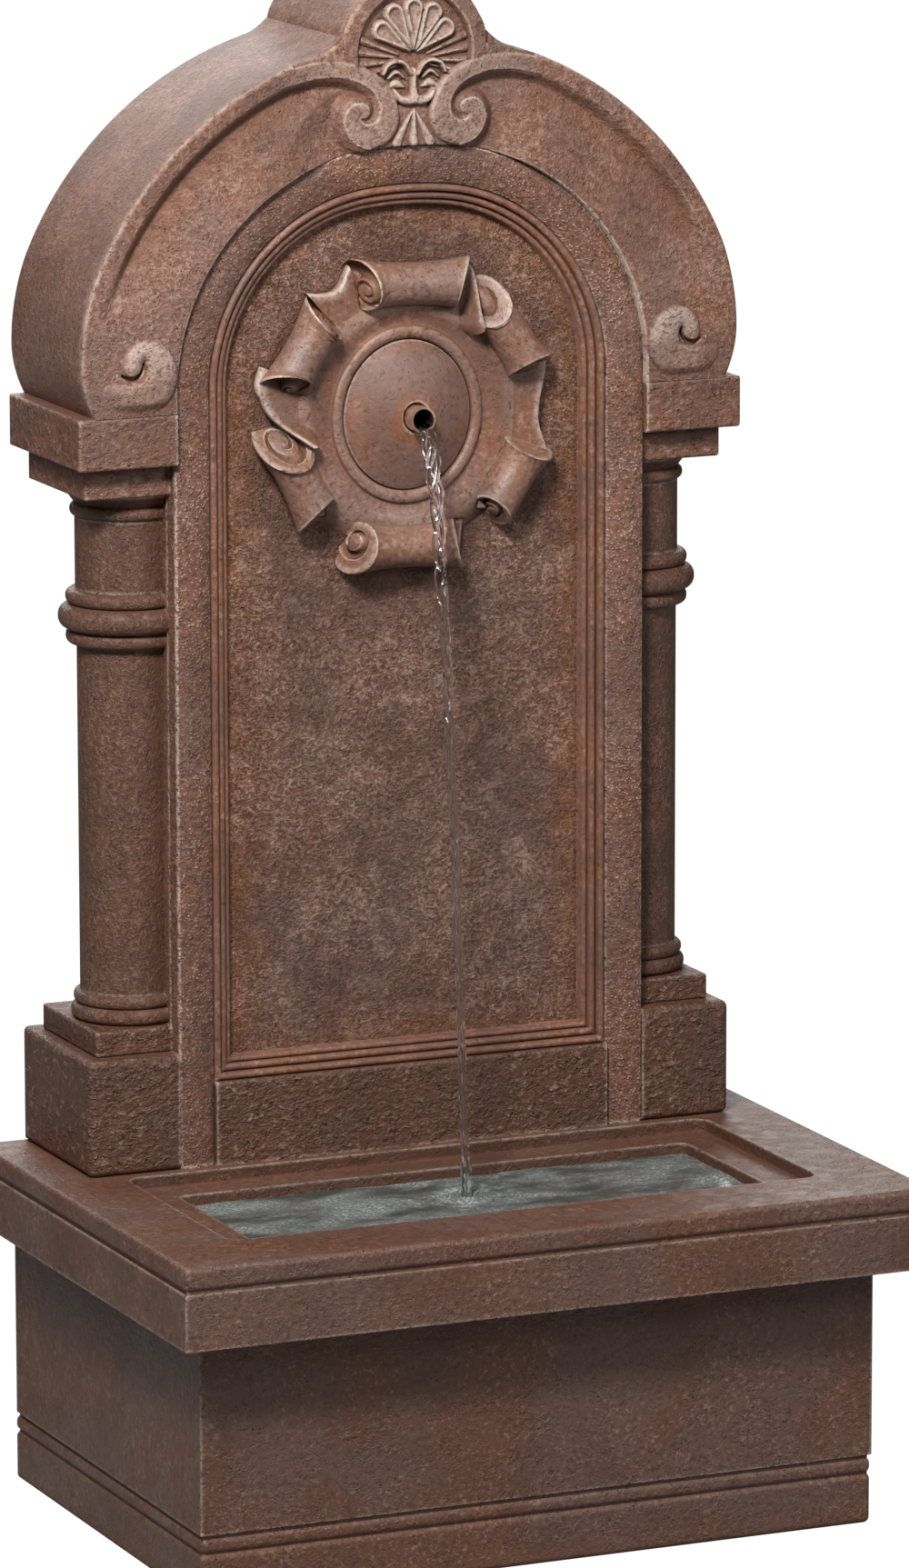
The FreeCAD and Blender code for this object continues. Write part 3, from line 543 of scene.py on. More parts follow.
def lifted(rows, level):
    """Rows of x, height above a level and half width, as rows of x, z and half width."""
    return [(x, level + z, width) for x, z, width in rows]


def spoke(degrees, root_z, rows):
    """A line that runs out from a root, given as rows of distance and half width."""
    turn = math.radians(degrees)
    return [(out * math.cos(turn), root_z + out * math.sin(turn), width) for out, width in rows]


def flowing(points, steps=6):
    """A smooth curve through rows of numbers."""
    points = np.array(points, float)
    rows = [points[0]]
    ends = np.vstack([2 * points[0] - points[1], points, 2 * points[-1] - points[-2]])
    for p0, p1, p2, p3 in zip(ends, ends[1:], ends[2:], ends[3:]):
        for t in np.linspace(0.0, 1.0, steps + 1)[1:]:
            rows.append(0.5 * (
                2 * p1 + (p2 - p0) * t + (2 * p0 - 5 * p1 + 4 * p2 - p3) * t ** 2
                + (3 * p1 - p0 - 3 * p2 + p3) * t ** 3))
    return np.array(rows)


def raised(depth, radius):
    """A rounded edge: 0 outside a line, 1 from radius inwards."""
    inner = np.clip(1.0 - depth / radius, 0.0, 1.0)
    return np.sqrt(1.0 - inner ** 2)


class ReliefSettings(bpy.types.PropertyGroup):
    rim: length_property("Rim", "Width of the rim round the big arch", 0.016)
    valley: length_property("Valley", "Depth of the hollow inside the rim", 0.0135)
    swell: length_property("Swell", "Width of the slope from the hollow to the flat", 0.072)
    niche: length_property("Niche", "Depth of the crest's niche", 0.0095)
    band: length_property("Crest band", "Width of the band round the niche", 0.017)
    arch_width: length_property("Arch width", "From the frame to the big arch's edge at its foot", 0.1055)
    crown_cover: length_property("Crown cover", "From the frame to the big arch's edge at its top", 0.1015)
    volute: length_property("Volute", "How far the volutes at the feet stand out", 0.006)


class FrontRelief:
    """The carved front of the big arch and the crest, as metres forward of the crest over x and z."""

    # Half of the scroll that the rim runs out into. Each row here and below is a distance from the middle,
    # a height above the centre of the crest's round head, and half the line's width.
    scroll = (
        (0.100, -0.0135, 0.0080), (0.080, -0.0132, 0.0080), (0.066, -0.0155, 0.0080),
        (0.050, -0.0210, 0.0080), (0.0365, -0.0300, 0.0085), (0.0275, -0.0435, 0.0095),
        (0.0260, -0.0600, 0.0112), (0.0320, -0.0715, 0.0122), (0.0440, -0.0765, 0.0122),
        (0.0560, -0.0725, 0.0108), (0.0622, -0.0625, 0.0095), (0.0590, -0.0530, 0.0084),
        (0.0520, -0.0525, 0.0074),
    )
    # Half of the arched curl, the small curl and the lens under it, the stem with its foot, and the leaves
    curl = (
        (0.0310, -0.0200, 0.0016), (0.0265, -0.0120, 0.0022), (0.0170, -0.0088, 0.0024),
        (0.0090, -0.0120, 0.0022), (0.0030, -0.0210, 0.0020))
    small_curl = ((0.0250, -0.0245, 0.0012), (0.0170, -0.0190, 0.0020), (0.0090, -0.0245, 0.0012))
    lens = ((0.0235, -0.0325, 0.0015), (0.0165, -0.0300, 0.0042), (0.0090, -0.0330, 0.0015))
    stem = ((0.0, -0.0180, 0.0032), (0.0, -0.0300, 0.0030), (0.0, -0.0420, 0.0046))
    foot = (
        (0.0, -0.0440, 0.0050), (0.0070, -0.0455, 0.0044), (0.0145, -0.0430, 0.0038),
        (0.0195, -0.0360, 0.0022))
    middle_leaf = ((0.0, -0.0540, 0.0015), (0.0, -0.0700, 0.0030), (0.0, -0.0840, 0.0046))
    side_leaf = ((0.0020, -0.0560, 0.0012), (0.0085, -0.0680, 0.0028), (0.0165, -0.0840, 0.0046))
    # The height from which the big arch is hollowed and the rise over which the hollow deepens
    hollow_from, hollow_rise = 1.115, 0.075
    # Height of the rounded edge of the rim, of its scrolls and of the band round the niche
    rim_edge, scroll_edge, band_edge = 0.0045, 0.0050, 0.0035
    # The band that winds into the volute at each foot of the big arch, and the groove in it. Their heights
    # are above that foot.
    volute_band = (
        (0.2795, 0.0455, 0.0088), (0.2770, 0.0545, 0.0092), (0.2675, 0.0600, 0.0100),
        (0.2570, 0.0550, 0.0125), (0.2515, 0.0430, 0.0150), (0.2530, 0.0290, 0.0160),
        (0.2625, 0.0195, 0.0165), (0.2760, 0.0175, 0.0155), (0.2900, 0.0190, 0.0125),
        (0.3010, 0.0240, 0.0070),
    )
    volute_groove = (
        (0.2685, 0.0500, 0.0006), (0.2700, 0.0425, 0.0018), (0.2750, 0.0365, 0.0026),
        (0.2820, 0.0345, 0.0024), (0.2895, 0.0385, 0.0010),
    )
    # Directions of the shell's ribs in degrees, their rows of distance from the root and half width, and
    # the direction and length of each lobe
    ribs = (-14.0, -2.0, 10.0, 22.0)
    rib_rows = ((0.016, 0.0016), (0.056, 0.0042))
    lobes = ((36.0, 0.0385), (63.0, 0.0420), (90.0, 0.0420))
    # Depth at the back where no edge is worn
    plain_back = 0.020

    def __init__(self, settings):
        self.rim, self.valley, self.swell = settings.rim, settings.valley, settings.swell
        self.niche, self.band, self.volute = settings.niche, settings.band, settings.volute
        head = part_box("crest")
        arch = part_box("outer_arch_right")
        self.crest_y = head[0].y
        self.back_y = head[1].y
        self.head_radius = head[1].x
        self.head_z = head[1].z - self.head_radius
        self.face = self.crest_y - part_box("capital_block_right")[0].y
        self.arch_foot_z = arch[0].z
        self.arch_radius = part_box("pilaster_right")[1].x + settings.arch_width
        self.arch_z = frame_line(0.0)[0][1] + settings.crown_cover - self.arch_radius
        middle = self.arch_radius - self.rim / 2
        turn = np.linspace(math.radians(1.0), math.radians(67.0), 90)
        arc_x, arc_z = middle * np.cos(turn), self.arch_z + middle * np.sin(turn)
        arc = np.stack([arc_x, arc_z, np.full_like(turn, self.rim / 2)], -1)
        scroll = flowing(lifted(self.scroll, self.head_z))
        self.rim_line = np.vstack([arc, scroll])
        down = int(np.argmin(self.rim_line[:, 0]))
        self.rising = self.rim_line[:down + 1][::-1]
        self.inner = np.array(lifted(self.scroll[2:9], self.head_z))[::-1]

    def lay(self, height, depth, top, radius):
        """Raises a line's rounded body to a level above what is there."""
        return height + np.maximum(top - height, 0.0) * raised(depth, radius)

    def height(self, x, z):
        """Height forward of the crest's face and how strongly each point is brushed pale, below 0 how much
        painted shade darkens it.
        """
        x = np.abs(x)
        depth = line_depth(x, z, self.rim_line)
        near_crest = smooth((0.150 - x) / 0.080)

        # The flat of the big arch, hollowed inside the rim
        high = smooth((z - self.hollow_from) / self.hollow_rise)
        outside = np.maximum(-depth, 0.0)
        slope = np.clip((self.swell - outside) / self.swell, 0.0, 1.0) ** 1.6
        hollow = slope * smooth(outside / 0.0110) * high
        base = self.face - self.valley * hollow

        # Above the rim, which falls back to the crest's face
        rim_z = np.interp(x, self.rising[:, 0], self.rising[:, 1])
        above = (z > rim_z) & (x > 0.030)
        base = np.where(above, (self.face - 0.0006) * (1 - smooth((0.110 - x) / 0.035)), base)

        # The rim itself
        top = (self.face + 0.0012 * high) * (1 - near_crest)
        edge_depth = np.where(above & (x > 0.120), self.rim, depth)
        height = self.lay(base, edge_depth, top, self.rim_edge)

        # The floor of the niche and of the gap between the scrolls
        inner_x = np.interp(z, self.inner[:, 1], self.inner[:, 0])
        between = (x < inner_x) & (z < self.head_z - 0.012)
        away = np.hypot(x, z - self.head_z)
        middle = self.head_radius - self.band / 2
        field = between | ((away < middle) & (z >= self.head_z - 0.016))
        floor = -self.niche + 0.0030 * smooth((self.head_z - 0.040 - z) / 0.015)
        height = self.lay(np.where(field, floor, height), depth, top, self.scroll_edge)

        # The band round the niche
        ring_depth = self.band / 2 - np.maximum(middle - away, 0.0)
        ring_depth = np.where(z > self.head_z - 0.020, ring_depth, -1.0)
        ringed = self.lay(height, ring_depth, 0.0, self.band_edge)
        height = np.where(away < self.head_radius, ringed, height)
        brush = (0.30 + 0.30 * (depth < 0.0030)) * raised(depth, 0.002) * near_crest
        height, brush = self.shell(x, z, height, brush, away)
        height, brush = self.leaves(x, z, height, brush)
        height, brush = self.foot_volute(x, z, height, brush)
        # Below 0, the hollow inside the rim is darkened with painted shade
        return height, brush - 0.75 * hollow * (1 - near_crest) * (depth < 0) * ~above

    def shell(self, x, z, height, brush, away):
        """Five scooped lobes with raised rims, and low ribs under them."""
        root_z = self.head_z - 0.003
        inside_band = smooth((self.head_radius - self.band + 0.001 - away) / 0.002)
        rib_top = -self.niche + 0.0045 * inside_band
        for degrees in self.ribs:
            depth = line_depth(x, z, spoke(degrees, root_z - 0.006, self.rib_rows))
            height = self.lay(height, depth, rib_top, 0.0055)
        for degrees, length in self.lobes:
            depth = line_depth(x, z, spoke(degrees, root_z, ((0.004, 0.0010), (length, 0.0098))))
            rim = self.lay(height, depth, -0.0012, 0.0030)
            scoop = 0.0050 * smooth((depth - 0.0018) / 0.0056)
            height = np.where(depth > 0, np.maximum(rim - scoop, height), height)
            pale = 1.0 - 0.5 * smooth((depth - 0.0015) / 0.003)
            brush = np.maximum(brush, np.where(depth > 0, pale, 0.0))
        return height, brush

    def leaves(self, x, z, height, brush):
        """The two arched curls on their stem and the three leaves that hang from it."""
        parts = (
            (self.curl, 0.0005, 0.0022), (self.small_curl, -0.0040, 0.0020), (self.lens, -0.0050, 0.0040),
            (self.stem, -0.0010, 0.0030), (self.foot, 0.0005, 0.0034),
            (self.side_leaf, -0.0030, 0.0040), (self.middle_leaf, -0.0016, 0.0040),
        )
        for rows, top, radius in parts:
            depth = line_depth(x, z, flowing(lifted(rows, self.head_z), 4))
            height = self.lay(height, depth, top, radius)
            brush = np.maximum(brush, 0.9 * raised(depth, 0.0015))
        return height, brush

    def foot_volute(self, x, z, height, brush):
        """The curled scroll above each capital, a band that winds down into its own eye."""
        foot = self.arch_foot_z
        depth = line_depth(x, z, flowing(lifted(self.volute_band, foot)))
        shown = smooth((z - foot - 0.002) / 0.012) * (0.35 + 0.65 * smooth((0.306 - x) / 0.028))
        height = height + self.volute * shown * raised(depth, 0.0110)
        cut = line_depth(x, z, flowing(lifted(self.volute_groove, foot)))
        height = height - 0.0050 * raised(cut, 0.0026)
        lip = np.clip(1.0 - np.abs(cut + 0.0040) / 0.0035, 0.0, 1.0) * (z < foot + 0.040)
        height = height + 0.0010 * lip
        crown = smooth((z - foot - 0.030) / 0.022)
        brush = np.maximum(brush, raised(depth, 0.006) * shown * (0.25 + 0.50 * crown))
        return height, brush


class FOUNTAIN_OT_arch(bpy.types.Operator):
    """Carve the two halves of the big arch with their rims and volutes"""
    bl_idname = "fountain.arch"
    bl_label = "Big arch"

    # How many points lie along a half and across its front
    along, across = 520, 116
    # How far the front falls at the outer and at the inner edge, and the radius of each
    outer_edge, inner_edge = (0.0042, 0.0042), (0.0014, 0.0022)

    def execute(self, context):
        self.front = FrontRelief(context.scene.fountain_relief)
        for name, side in SIDES.items():
            self.half(f"outer_arch_{name}", side)
        return {"FINISHED"}

    def outer_line(self, count):
        """The half arch's outer edge from the crest to the foot, evenly spaced."""
        front = self.front
        foot_z = front.arch_foot_z
        shoulder = math.radians(23.0)
        flare_width, flare_rise = 0.024, 0.009
        cheek_height, foot_tuck = 0.048, 0.012
        start = math.acos(front.head_radius / front.arch_radius)
        turn = np.linspace(start, shoulder, 300)
        arc_x = front.arch_radius * np.cos(turn)
        arc_z = front.arch_z + front.arch_radius * np.sin(turn)
        flare = np.clip(1.0 - (arc_x - front.head_radius) / flare_width, 0.0, 1.0)
        arc = np.stack([arc_x, arc_z + flare_rise * flare ** 2.2], -1)
        cheek_x, cheek_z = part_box("outer_arch_right")[1].x, foot_z + cheek_height
        rise = np.linspace(0.0, 1.0, 60)[1:]
        top_x, top_z = arc[-1]
        drop = np.stack([
            top_x + (cheek_x - top_x) * (1 - (1 - rise) ** 2), top_z + (cheek_z - top_z) * rise], -1)
        tuck = np.stack([cheek_x - foot_tuck * rise ** 2, cheek_z + (foot_z - cheek_z) * rise], -1)
        return evenly(np.vstack([arc, drop, tuck]), count)

    def half(self, node, side):
        front = self.front
        outer = self.outer_line(self.along)
        inner = evenly(frame_line(front.head_radius), self.along)
        share = np.linspace(0.0, 1.0, self.across)
        plan = inner[:, None] + (outer - inner)[:, None] * share[None, :, None]
        width = np.linalg.norm(outer - inner, axis=1)[:, None]
        height, brush = front.height(plan[..., 0], plan[..., 1])
        for from_edge, (drop, radius) in ((1 - share, self.outer_edge), (share, self.inner_edge)):
            height = height - drop * (1 - raised(from_edge[None, :] * width, radius))
        face = np.stack([side * plan[..., 0], front.crest_y - height, plan[..., 1]], -1)
        outer_side = set_back(face[:, -1], front.back_y, np.linspace(0.0, 1.0, 14)[1:])
        inner_side = set_back(face[:, 0], front.back_y, np.linspace(1.0, 0.0, 6)[1:-1])
        back = []
        for step in np.linspace(1.0, 0.0, 5)[1:]:
            line = face[:, 0] * (1 - step) + face[:, -1] * step
            line[:, 1] = front.back_y
            back.append(line)
        shell = np.concatenate([face, np.stack([*outer_side, *back, *inner_side], axis=1)], axis=1)
        rows, columns = shell.shape[:2]
        faces = grid_faces(rows, columns, closed=True) + end_faces(rows, columns)
        strength = np.zeros((rows, columns))
        strength[:, :self.across] = brush
        points = shell.reshape(-1, 3)
        beside_crest = 1 - smooth((np.abs(points[:, 0]) - front.head_radius - 0.005) / 0.004)
        seam = np.maximum(beside_crest, points[:, 1] > front.back_y - front.plain_back)
        carved(
            f"{node}_carved", points, faces, finish("stone_relief"), [node],
            brush=strength.reshape(-1), seam=seam)


class FOUNTAIN_OT_crest(bpy.types.Operator):
    """Carve the round crest with its shell, scrolls and leaves"""
    bl_idname = "fountain.crest"
    bl_label = "Crest"

    # Radius of the edge round the head and of the one along the frame
    head_edge, foot_edge = 0.0045, 0.0016

    def outline(self, front):
        """The crest's edge: over its head, down one side, along the frame's arch and up the other side."""
        half = front.head_radius
        line = []
        for turn in np.linspace(0.0, math.pi, 240):
            x = half * math.cos(turn)
            straight = 1.0 - smooth(min(turn, math.pi - turn) / 0.5)
            x += (math.copysign(half, x) - x) * straight
            line.append((x, front.head_z + half * math.sin(turn)))
        foot = frame_line(0.0)
        corner_z = foot[foot[:, 0] <= half][-1, 1]
        side = np.linspace(0, 1, 90)
        line += [(-half, front.head_z + share * (corner_z - front.head_z)) for share in side[1:]]
        bottom = np.linspace(-half, half, 150)[1:]
        order = np.argsort(foot[:, 0])
        line += [(x, np.interp(abs(x), foot[order, 0], foot[order, 1])) for x in bottom]
        line += [(half, corner_z + share * (front.head_z - corner_z)) for share in side[1:-1]]
        return np.array(line)

    def execute(self, context):
        front = FrontRelief(context.scene.fountain_relief)
        half = front.head_radius
        outline = self.outline(front)
        middle = np.array([0.0, front.head_z - 0.030])
        share = np.linspace(0.0, 1.0, 110)[:, None, None]
        plan = middle + (outline - middle)[None] * share
        height, brush = front.height(plan[..., 0], plan[..., 1])
        away = np.linalg.norm(outline - middle, axis=1)[None, :] * (1 - share[..., 0])
        round_head = outline[:, 1] > front.head_z + 0.004
        low_edge = (outline[:, 1] < front.head_z - 0.080) & (np.abs(outline[:, 0]) < half - 1e-6)
        for radius in (self.head_edge * round_head[None, :], self.foot_edge * low_edge[None, :]):
            height = height - radius * (1 - raised(away, np.maximum(radius, 1e-6)))
        face = np.stack([plan[..., 0], front.crest_y - height, plan[..., 1]], -1)
        rows = set_back(face[-1], front.back_y, np.linspace(0.0, 1.0, 12)[1:])
        for step in (0.5, 0.0):
            x, z = (middle + (outline - middle) * step).T
            rows.append(np.stack([x, np.full_like(x, front.back_y), z], -1))
        shell = np.concatenate([face, rows])
        strength = np.zeros(shell.shape[:2])
        strength[:len(face)] = brush
        faces = grid_faces(*shell.shape[:2], closed=True)
        points = shell.reshape(-1, 3)
        beside_arch = smooth((np.abs(points[:, 0]) - half + 0.009) / 0.004)
        beside_arch = beside_arch * (points[:, 2] < front.head_z - 0.002)
        seam = np.maximum(beside_arch, points[:, 1] > front.back_y - front.plain_back)
        carved(
            "crest_carved", points, faces, finish("stone_relief"), ["crest"],
            brush=strength.reshape(-1), seam=seam)
        return {"FINISHED"}


def set_back(edge, back_y, steps):
    """Copies of an edge, each moved back by its share of the way to the part's back."""
    copies = []
    for step in steps:
        line = edge.copy()
        line[:, 1] += (back_y - line[:, 1]) * step
        copies.append(line)
    return copies


def evenly(line, count):
    """The same line with evenly spaced points."""
    steps = np.linalg.norm(np.diff(line, axis=0), axis=1)
    along = np.concatenate([[0.0], np.cumsum(steps)])
    wanted = np.linspace(0.0, along[-1], count)
    return np.stack([np.interp(wanted, along, line[:, k]) for k in range(line.shape[1])], -1)


def frame_line(from_x, inset=0.0):
    """Right half of the frame's three-centred arch, from the crown at from_x down to the arch's foot."""
    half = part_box("pilaster_right")[1].x
    foot_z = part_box("outer_arch_right")[0].z
    spring_z = foot_z + SPRINGING_COVER
    small = half - SHOULDER_OFFSET - inset
    large = small + CROWN_FLATNESS
    drop = math.sqrt(CROWN_FLATNESS ** 2 - SHOULDER_OFFSET ** 2)
    join = math.atan2(drop, SHOULDER_OFFSET)
    turn = np.linspace(math.pi / 2, join, 200)
    crown = np.stack([large * np.cos(turn), spring_z - drop + large * np.sin(turn)], -1)
    turn = np.linspace(join, 0.0, 200)[1:]
    shoulder = np.stack([SHOULDER_OFFSET + small * np.cos(turn), spring_z + small * np.sin(turn)], -1)
    arch = np.vstack([crown, shoulder])
    start_z = np.interp(from_x, arch[:, 0], arch[:, 1])
    return np.vstack([(from_x, start_z), arch[arch[:, 0] > from_x], (half - inset, foot_z)])


class FrameSettings(bpy.types.PropertyGroup):
    crown: length_property("Crown", "How far the band's inner edge lies behind its outer one", 0.0070)
    edge: length_property("Edge", "Radius of the band's edges", 0.0022)
    step: length_property("Step", "How far each bead of the moulding lies behind the one before", 0.0045)


class FOUNTAIN_OT_frame(bpy.types.Operator):
    """Round the two pilasters, the arch band and the beads of the moulding that frame the field"""
    bl_idname = "fountain.frame"
    bl_label = "Frame"

    # Distance from the band and radius of each bead, and distance and drop of the grooves' floor
    beads = ((0.0038, 0.0034), (0.0111, 0.0033), (0.0173, 0.0026))
    floor = (
        (0.0, 0.0060), (0.0075, 0.0082), (0.0145, 0.0132), (0.0200, 0.0182), (MOULDING_WIDTH, 0.0192))

    def execute(self, context):
        settings = context.scene.fountain_frame
        low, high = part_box("pilaster_right")
        width = high.x - low.x

        # The section goes across the front from the outer edge, back along the inner side, and forward
        # along the outer one
        share = np.linspace(0.0, 1.0, 41)
        from_edge = np.minimum(share, 1 - share) * width
        front = low.y + settings.crown * (share ** 2.4 + 0.25 * (1 - share) ** 3)
        front = front + settings.edge * (1 - raised(from_edge, settings.edge))
        side = np.linspace(0.0, 1.0, 7)[1:]
        inner_side = front[-1] + (high.y - front[-1]) * side
        outer_side = high.y + (front[0] - high.y) * (side - side[0])
        self.inset = np.concatenate([share * width, np.full(len(side), width), np.zeros(len(side))])
        self.y = np.concatenate([front, inner_side, outer_side])
        height = np.linspace(low.z, high.z, 181)
        for name, hand in SIDES.items():
            lines = [
                np.stack([np.full_like(height, hand * (high.x - inset)), height], -1)
                for inset in self.inset]
            self.sweep(f"pilaster_{name}", lines, high.z)
        lines = []
        for inset in self.inset:
            half = frame_line(0.0, inset)[:-1]
            lines.append(evenly(np.vstack([half[:0:-1] * (-1, 1), half]), 361))
        self.sweep("arch_band", lines, high.z)
        self.moulding(width, settings.step)
        return {"FINISHED"}

    def moulding(self, band, step):
        """Three beads that run round the field, mitred at the corners of the sill."""
        low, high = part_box("inner_moulding")
        across = np.linspace(0.0, self.floor[-1][0], 71)
        y = low.y + np.interp(across, *np.array(self.floor).T)
        for level, (place, radius) in enumerate(self.beads):
            away = np.clip((across - place) / radius, -1.0, 1.0)
            top = low.y + 0.0002 + step * level + radius * (1 - np.sqrt(1 - away ** 2))
            y = np.where(np.abs(away) < 1, np.minimum(y, top), y)
        across = np.concatenate([across, across[[-1, 0]]])
        y = np.concatenate([y, [high.y, high.y]])
        rows = []
        for inset in across:
            arch = frame_line(0.0, band + inset)[:-1]
            side, sill = arch[-1, 0], low.z + inset
            jamb = np.stack([np.full(160, side), np.linspace(arch[-1, 1], sill, 160)], -1)
            base = np.stack([np.linspace(side, 0.0, 60), np.full(60, sill)], -1)
            half = np.vstack([evenly(arch, 260), jamb[1:], base[1:]])
            rows.append(np.vstack([half, half[-2:0:-1] * (-1, 1)]))
        plan = np.array(rows)
        depth = np.broadcast_to(y[:, None], plan.shape[:2])
        grid = np.stack([plan[..., 0], depth, plan[..., 1]], -1)
        faces = grid_faces(*grid.shape[:2], closed=True)
        faces += grid_faces(2, grid.shape[1], (len(grid) - 1) * grid.shape[1], closed=True)
        points = np.concatenate([grid, grid[:1]]).reshape(-1, 3)
        carved("inner_moulding_carved", points, faces, finish("stone_smooth"), ["inner_moulding"])

    def sweep(self, node, lines, joint):
        """One length of the band: a line of x and z for each point of its section."""
        plan = np.array(lines)
        y = np.broadcast_to(self.y[:, None], plan.shape[:2])
        grid = np.stack([plan[..., 0], y, plan[..., 1]], -1).transpose(1, 0, 2)
        faces = grid_faces(*grid.shape[:2], closed=True) + end_faces(*grid.shape[:2])
        points = grid.reshape(-1, 3)
        seam = 1 - smooth((np.abs(points[:, 2] - joint) - 0.006) / 0.004)
        carved(f"{node}_carved", points, faces, finish("stone_speckled"), [node], seam=seam)


class CartoucheSettings(bpy.types.PropertyGroup):
    waist: length_property("Waist", "Radius of the rolled straps in their middle", 0.0195)
    flare: length_property("Flare", "Radius of the rolled straps at their ends", 0.0245)
    reach: length_property("Reach", "From the spout to the middle of the rolls", 0.122)
    rim: length_property("Rim", "Thickness of the hood over a curl", 0.0034)
    groove: length_property("Groove", "Half the width of the groove in a curl", 0.0023)


class FOUNTAIN_OT_cartouche(bpy.types.Operator):
    """Roll the six straps of the cartouche, join them with scooped valleys and dome the disc"""
    bl_idname = "fountain.cartouche"
    bl_label = "Cartouche"

    # How an end is rolled: 1 where its sheet comes from the outer side and -1 from the collar, the curl's
    # centre and its first and last radius as shares of the end's radius, the groove's start and sweep in
    # degrees, the share of the hood's hollow that is open, the dome of the curl in metres, and the bevel
    ends = {
        "hood": (1, (-0.24, 0.24), (0.56, 0.12), (20.0, 640.0), 1.0, 0.0010, 0.45),
        "shell": (1, (-0.18, 0.10), (0.36, 0.10), (10.0, 500.0), 1.0, 0.0030, 0.55),
        "knob": (-1, (0.02, -0.20), (0.52, 0.36), (-15.0, 330.0), 0.10, 0.0085, 1.10),
        "scroll": (-1, (0.02, -0.10), (0.60, 0.16), (10.0, 560.0), 0.25, 0.0040, 1.05),
        "edge": (-1, (0.02, -0.10), (0.58, 0.16), (10.0, 560.0), 0.40, 0.0020, 0.45),
        "plain": (-1, (0.0, 0.0), (0.5, 0.5), (0.0, 1.0), 0.0, 0.0, 0.40),
        "eye": (-1, (0.05, 0.05), (0.46, 0.20), (0.0, 520.0), 0.60, 0.0020, 0.35),
        "tongue": (1, (-0.30, -0.04), (0.44, 0.20), (-20.0, 420.0), 0.25, 0.0040, 0.50),
    }
    # Each strap's direction from the spout in degrees and its half length, and for both of its ends the
    # kind and the share of the flare
    straps = (
        (88.5, 0.0520, "hood", 1.0, "hood", 1.0),
        (34.5, 0.0385, "knob", 0.84, "edge", 0.95),
        (-32.5, 0.0350, "plain", 1.0, "eye", 0.78),
        (-91.3, 0.0525, "hood", 0.95, "tongue", 1.0),
        (206.4, 0.0375, "edge", 0.95, "scroll", 1.0),
        (148.2, 0.0370, "shell", 1.0, "hood", 1.0),
    )
    # The free edge of the sheet between two straps: degrees, out from the spout and forward of the field
    valleys = (
        ((160, .150, .010), (167, .150, .012), (172, .143, .014), (177, .135, .016), (182, .123, .020),
         (187, .111, .029), (192, .102, .036)),
        ((130, .150, .010), (126, .141, .013), (121, .136, .015), (117, .139, .014), (112, .149, .011)),
        ((67, .150, .012), (64, .146, .014), (61, .137, .018), (58, .124, .026), (54, .111, .034),
         (49, .103, .037)),
        ((21, .148, .014), (12, .139, .015), (3, .131, .016), (-6, .130, .016), (-13, .138, .016),
         (-19, .149, .014)),
        ((221, .140, .008), (229, .117, .006), (237, .112, .006), (245, .116, .008)),
        ((-68, .140, .010), (-61, .117, .008), (-55, .112, .008), (-49, .122, .010)),
    )

    # How far forward of the field the rolls' axes lie, and how much painted shade darkens a groove for
    # each metre of its depth
    axis = 0.0165
    groove_shade = 200
    # How far the ring stays off the disc's solid, and how much a strap narrows at the edge of an end
    gap, chamfer = 0.0007, 0.0012
    # The collar under the rolls and the rounding of a valley's free edge: out, and forward or back
    collar = (
        (0.0800, 0.0106), (0.0860, 0.0120), (0.0920, 0.0134), (0.1000, 0.0138),
        (0.1080, 0.0124), (0.1160, 0.0088), (0.1240, 0.0030), (0.1280, -0.0010),
    )
    rounding = ((0.0012, 0.0003), (0.0024, 0.0014), (0.0032, 0.0036), (0.0032, 0.0070))

    def execute(self, context):
        settings = context.scene.fountain_cartouche
        self.waist, self.flare = settings.waist, settings.flare
        self.reach, self.rim, self.groove = settings.reach, settings.rim, settings.groove
        self.disc_radius = radius_of("spout_disc") + self.gap
        x, z = middle_of("spout_disc")
        self.centre = Vector((x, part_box("cartouche")[1].y, z))
        self.points, self.faces, self.brush = [], [], []
        self.ring()
        for angle, half, *kinds in self.straps:
            self.roll(math.radians(angle), half, kinds)
        for edge in self.valleys:
            self.valley(edge)
        self.carve("cartouche", "stone_carved")
        self.disc()
        self.carve("spout_disc", "stone_disc")
        return {"FINISHED"}

    def carve(self, node, look):
        """Makes one piece of what has been patched together since the last one."""
        carved(f"{node}_carved", self.points, self.faces, finish(look), [node], brush=self.brush)
        self.points, self.faces, self.brush = [], [], []

    def at(self, angle, out, along, forward):
        """A point out from the spout, along the tangent and forward of the panel's field."""
        x = out * np.cos(angle) - along * np.sin(angle)
        z = out * np.sin(angle) + along * np.cos(angle)
        return np.stack(np.broadcast_arrays(
            self.centre.x + x, self.centre.y - forward, self.centre.z + z), -1)

    def patch(self, grid, closed=False, brush=0.0):
        rows, columns = grid.shape[:2]
        self.faces += grid_faces(rows, columns, len(self.points), closed)
        self.points += list(grid.reshape(-1, 3))
        self.brush += list(np.broadcast_to(brush, (rows, columns)).ravel())

    def turned(self, profile):
        """A profile of (out, forward) pairs turned round the spout, taller than wide near the disc."""
        out, forward = np.array(profile).T
        turn = np.linspace(0.0, 2 * math.pi, 240, endpoint=False)
        grid = self.at(turn[None, :], out[:, None], 0.0, forward[:, None])
        tall = 0.10 * smooth((0.100 - out) / 0.022)
        grid[..., 2] += (grid[..., 2] - self.centre.z) * tall[:, None]
        self.patch(grid, closed=True)

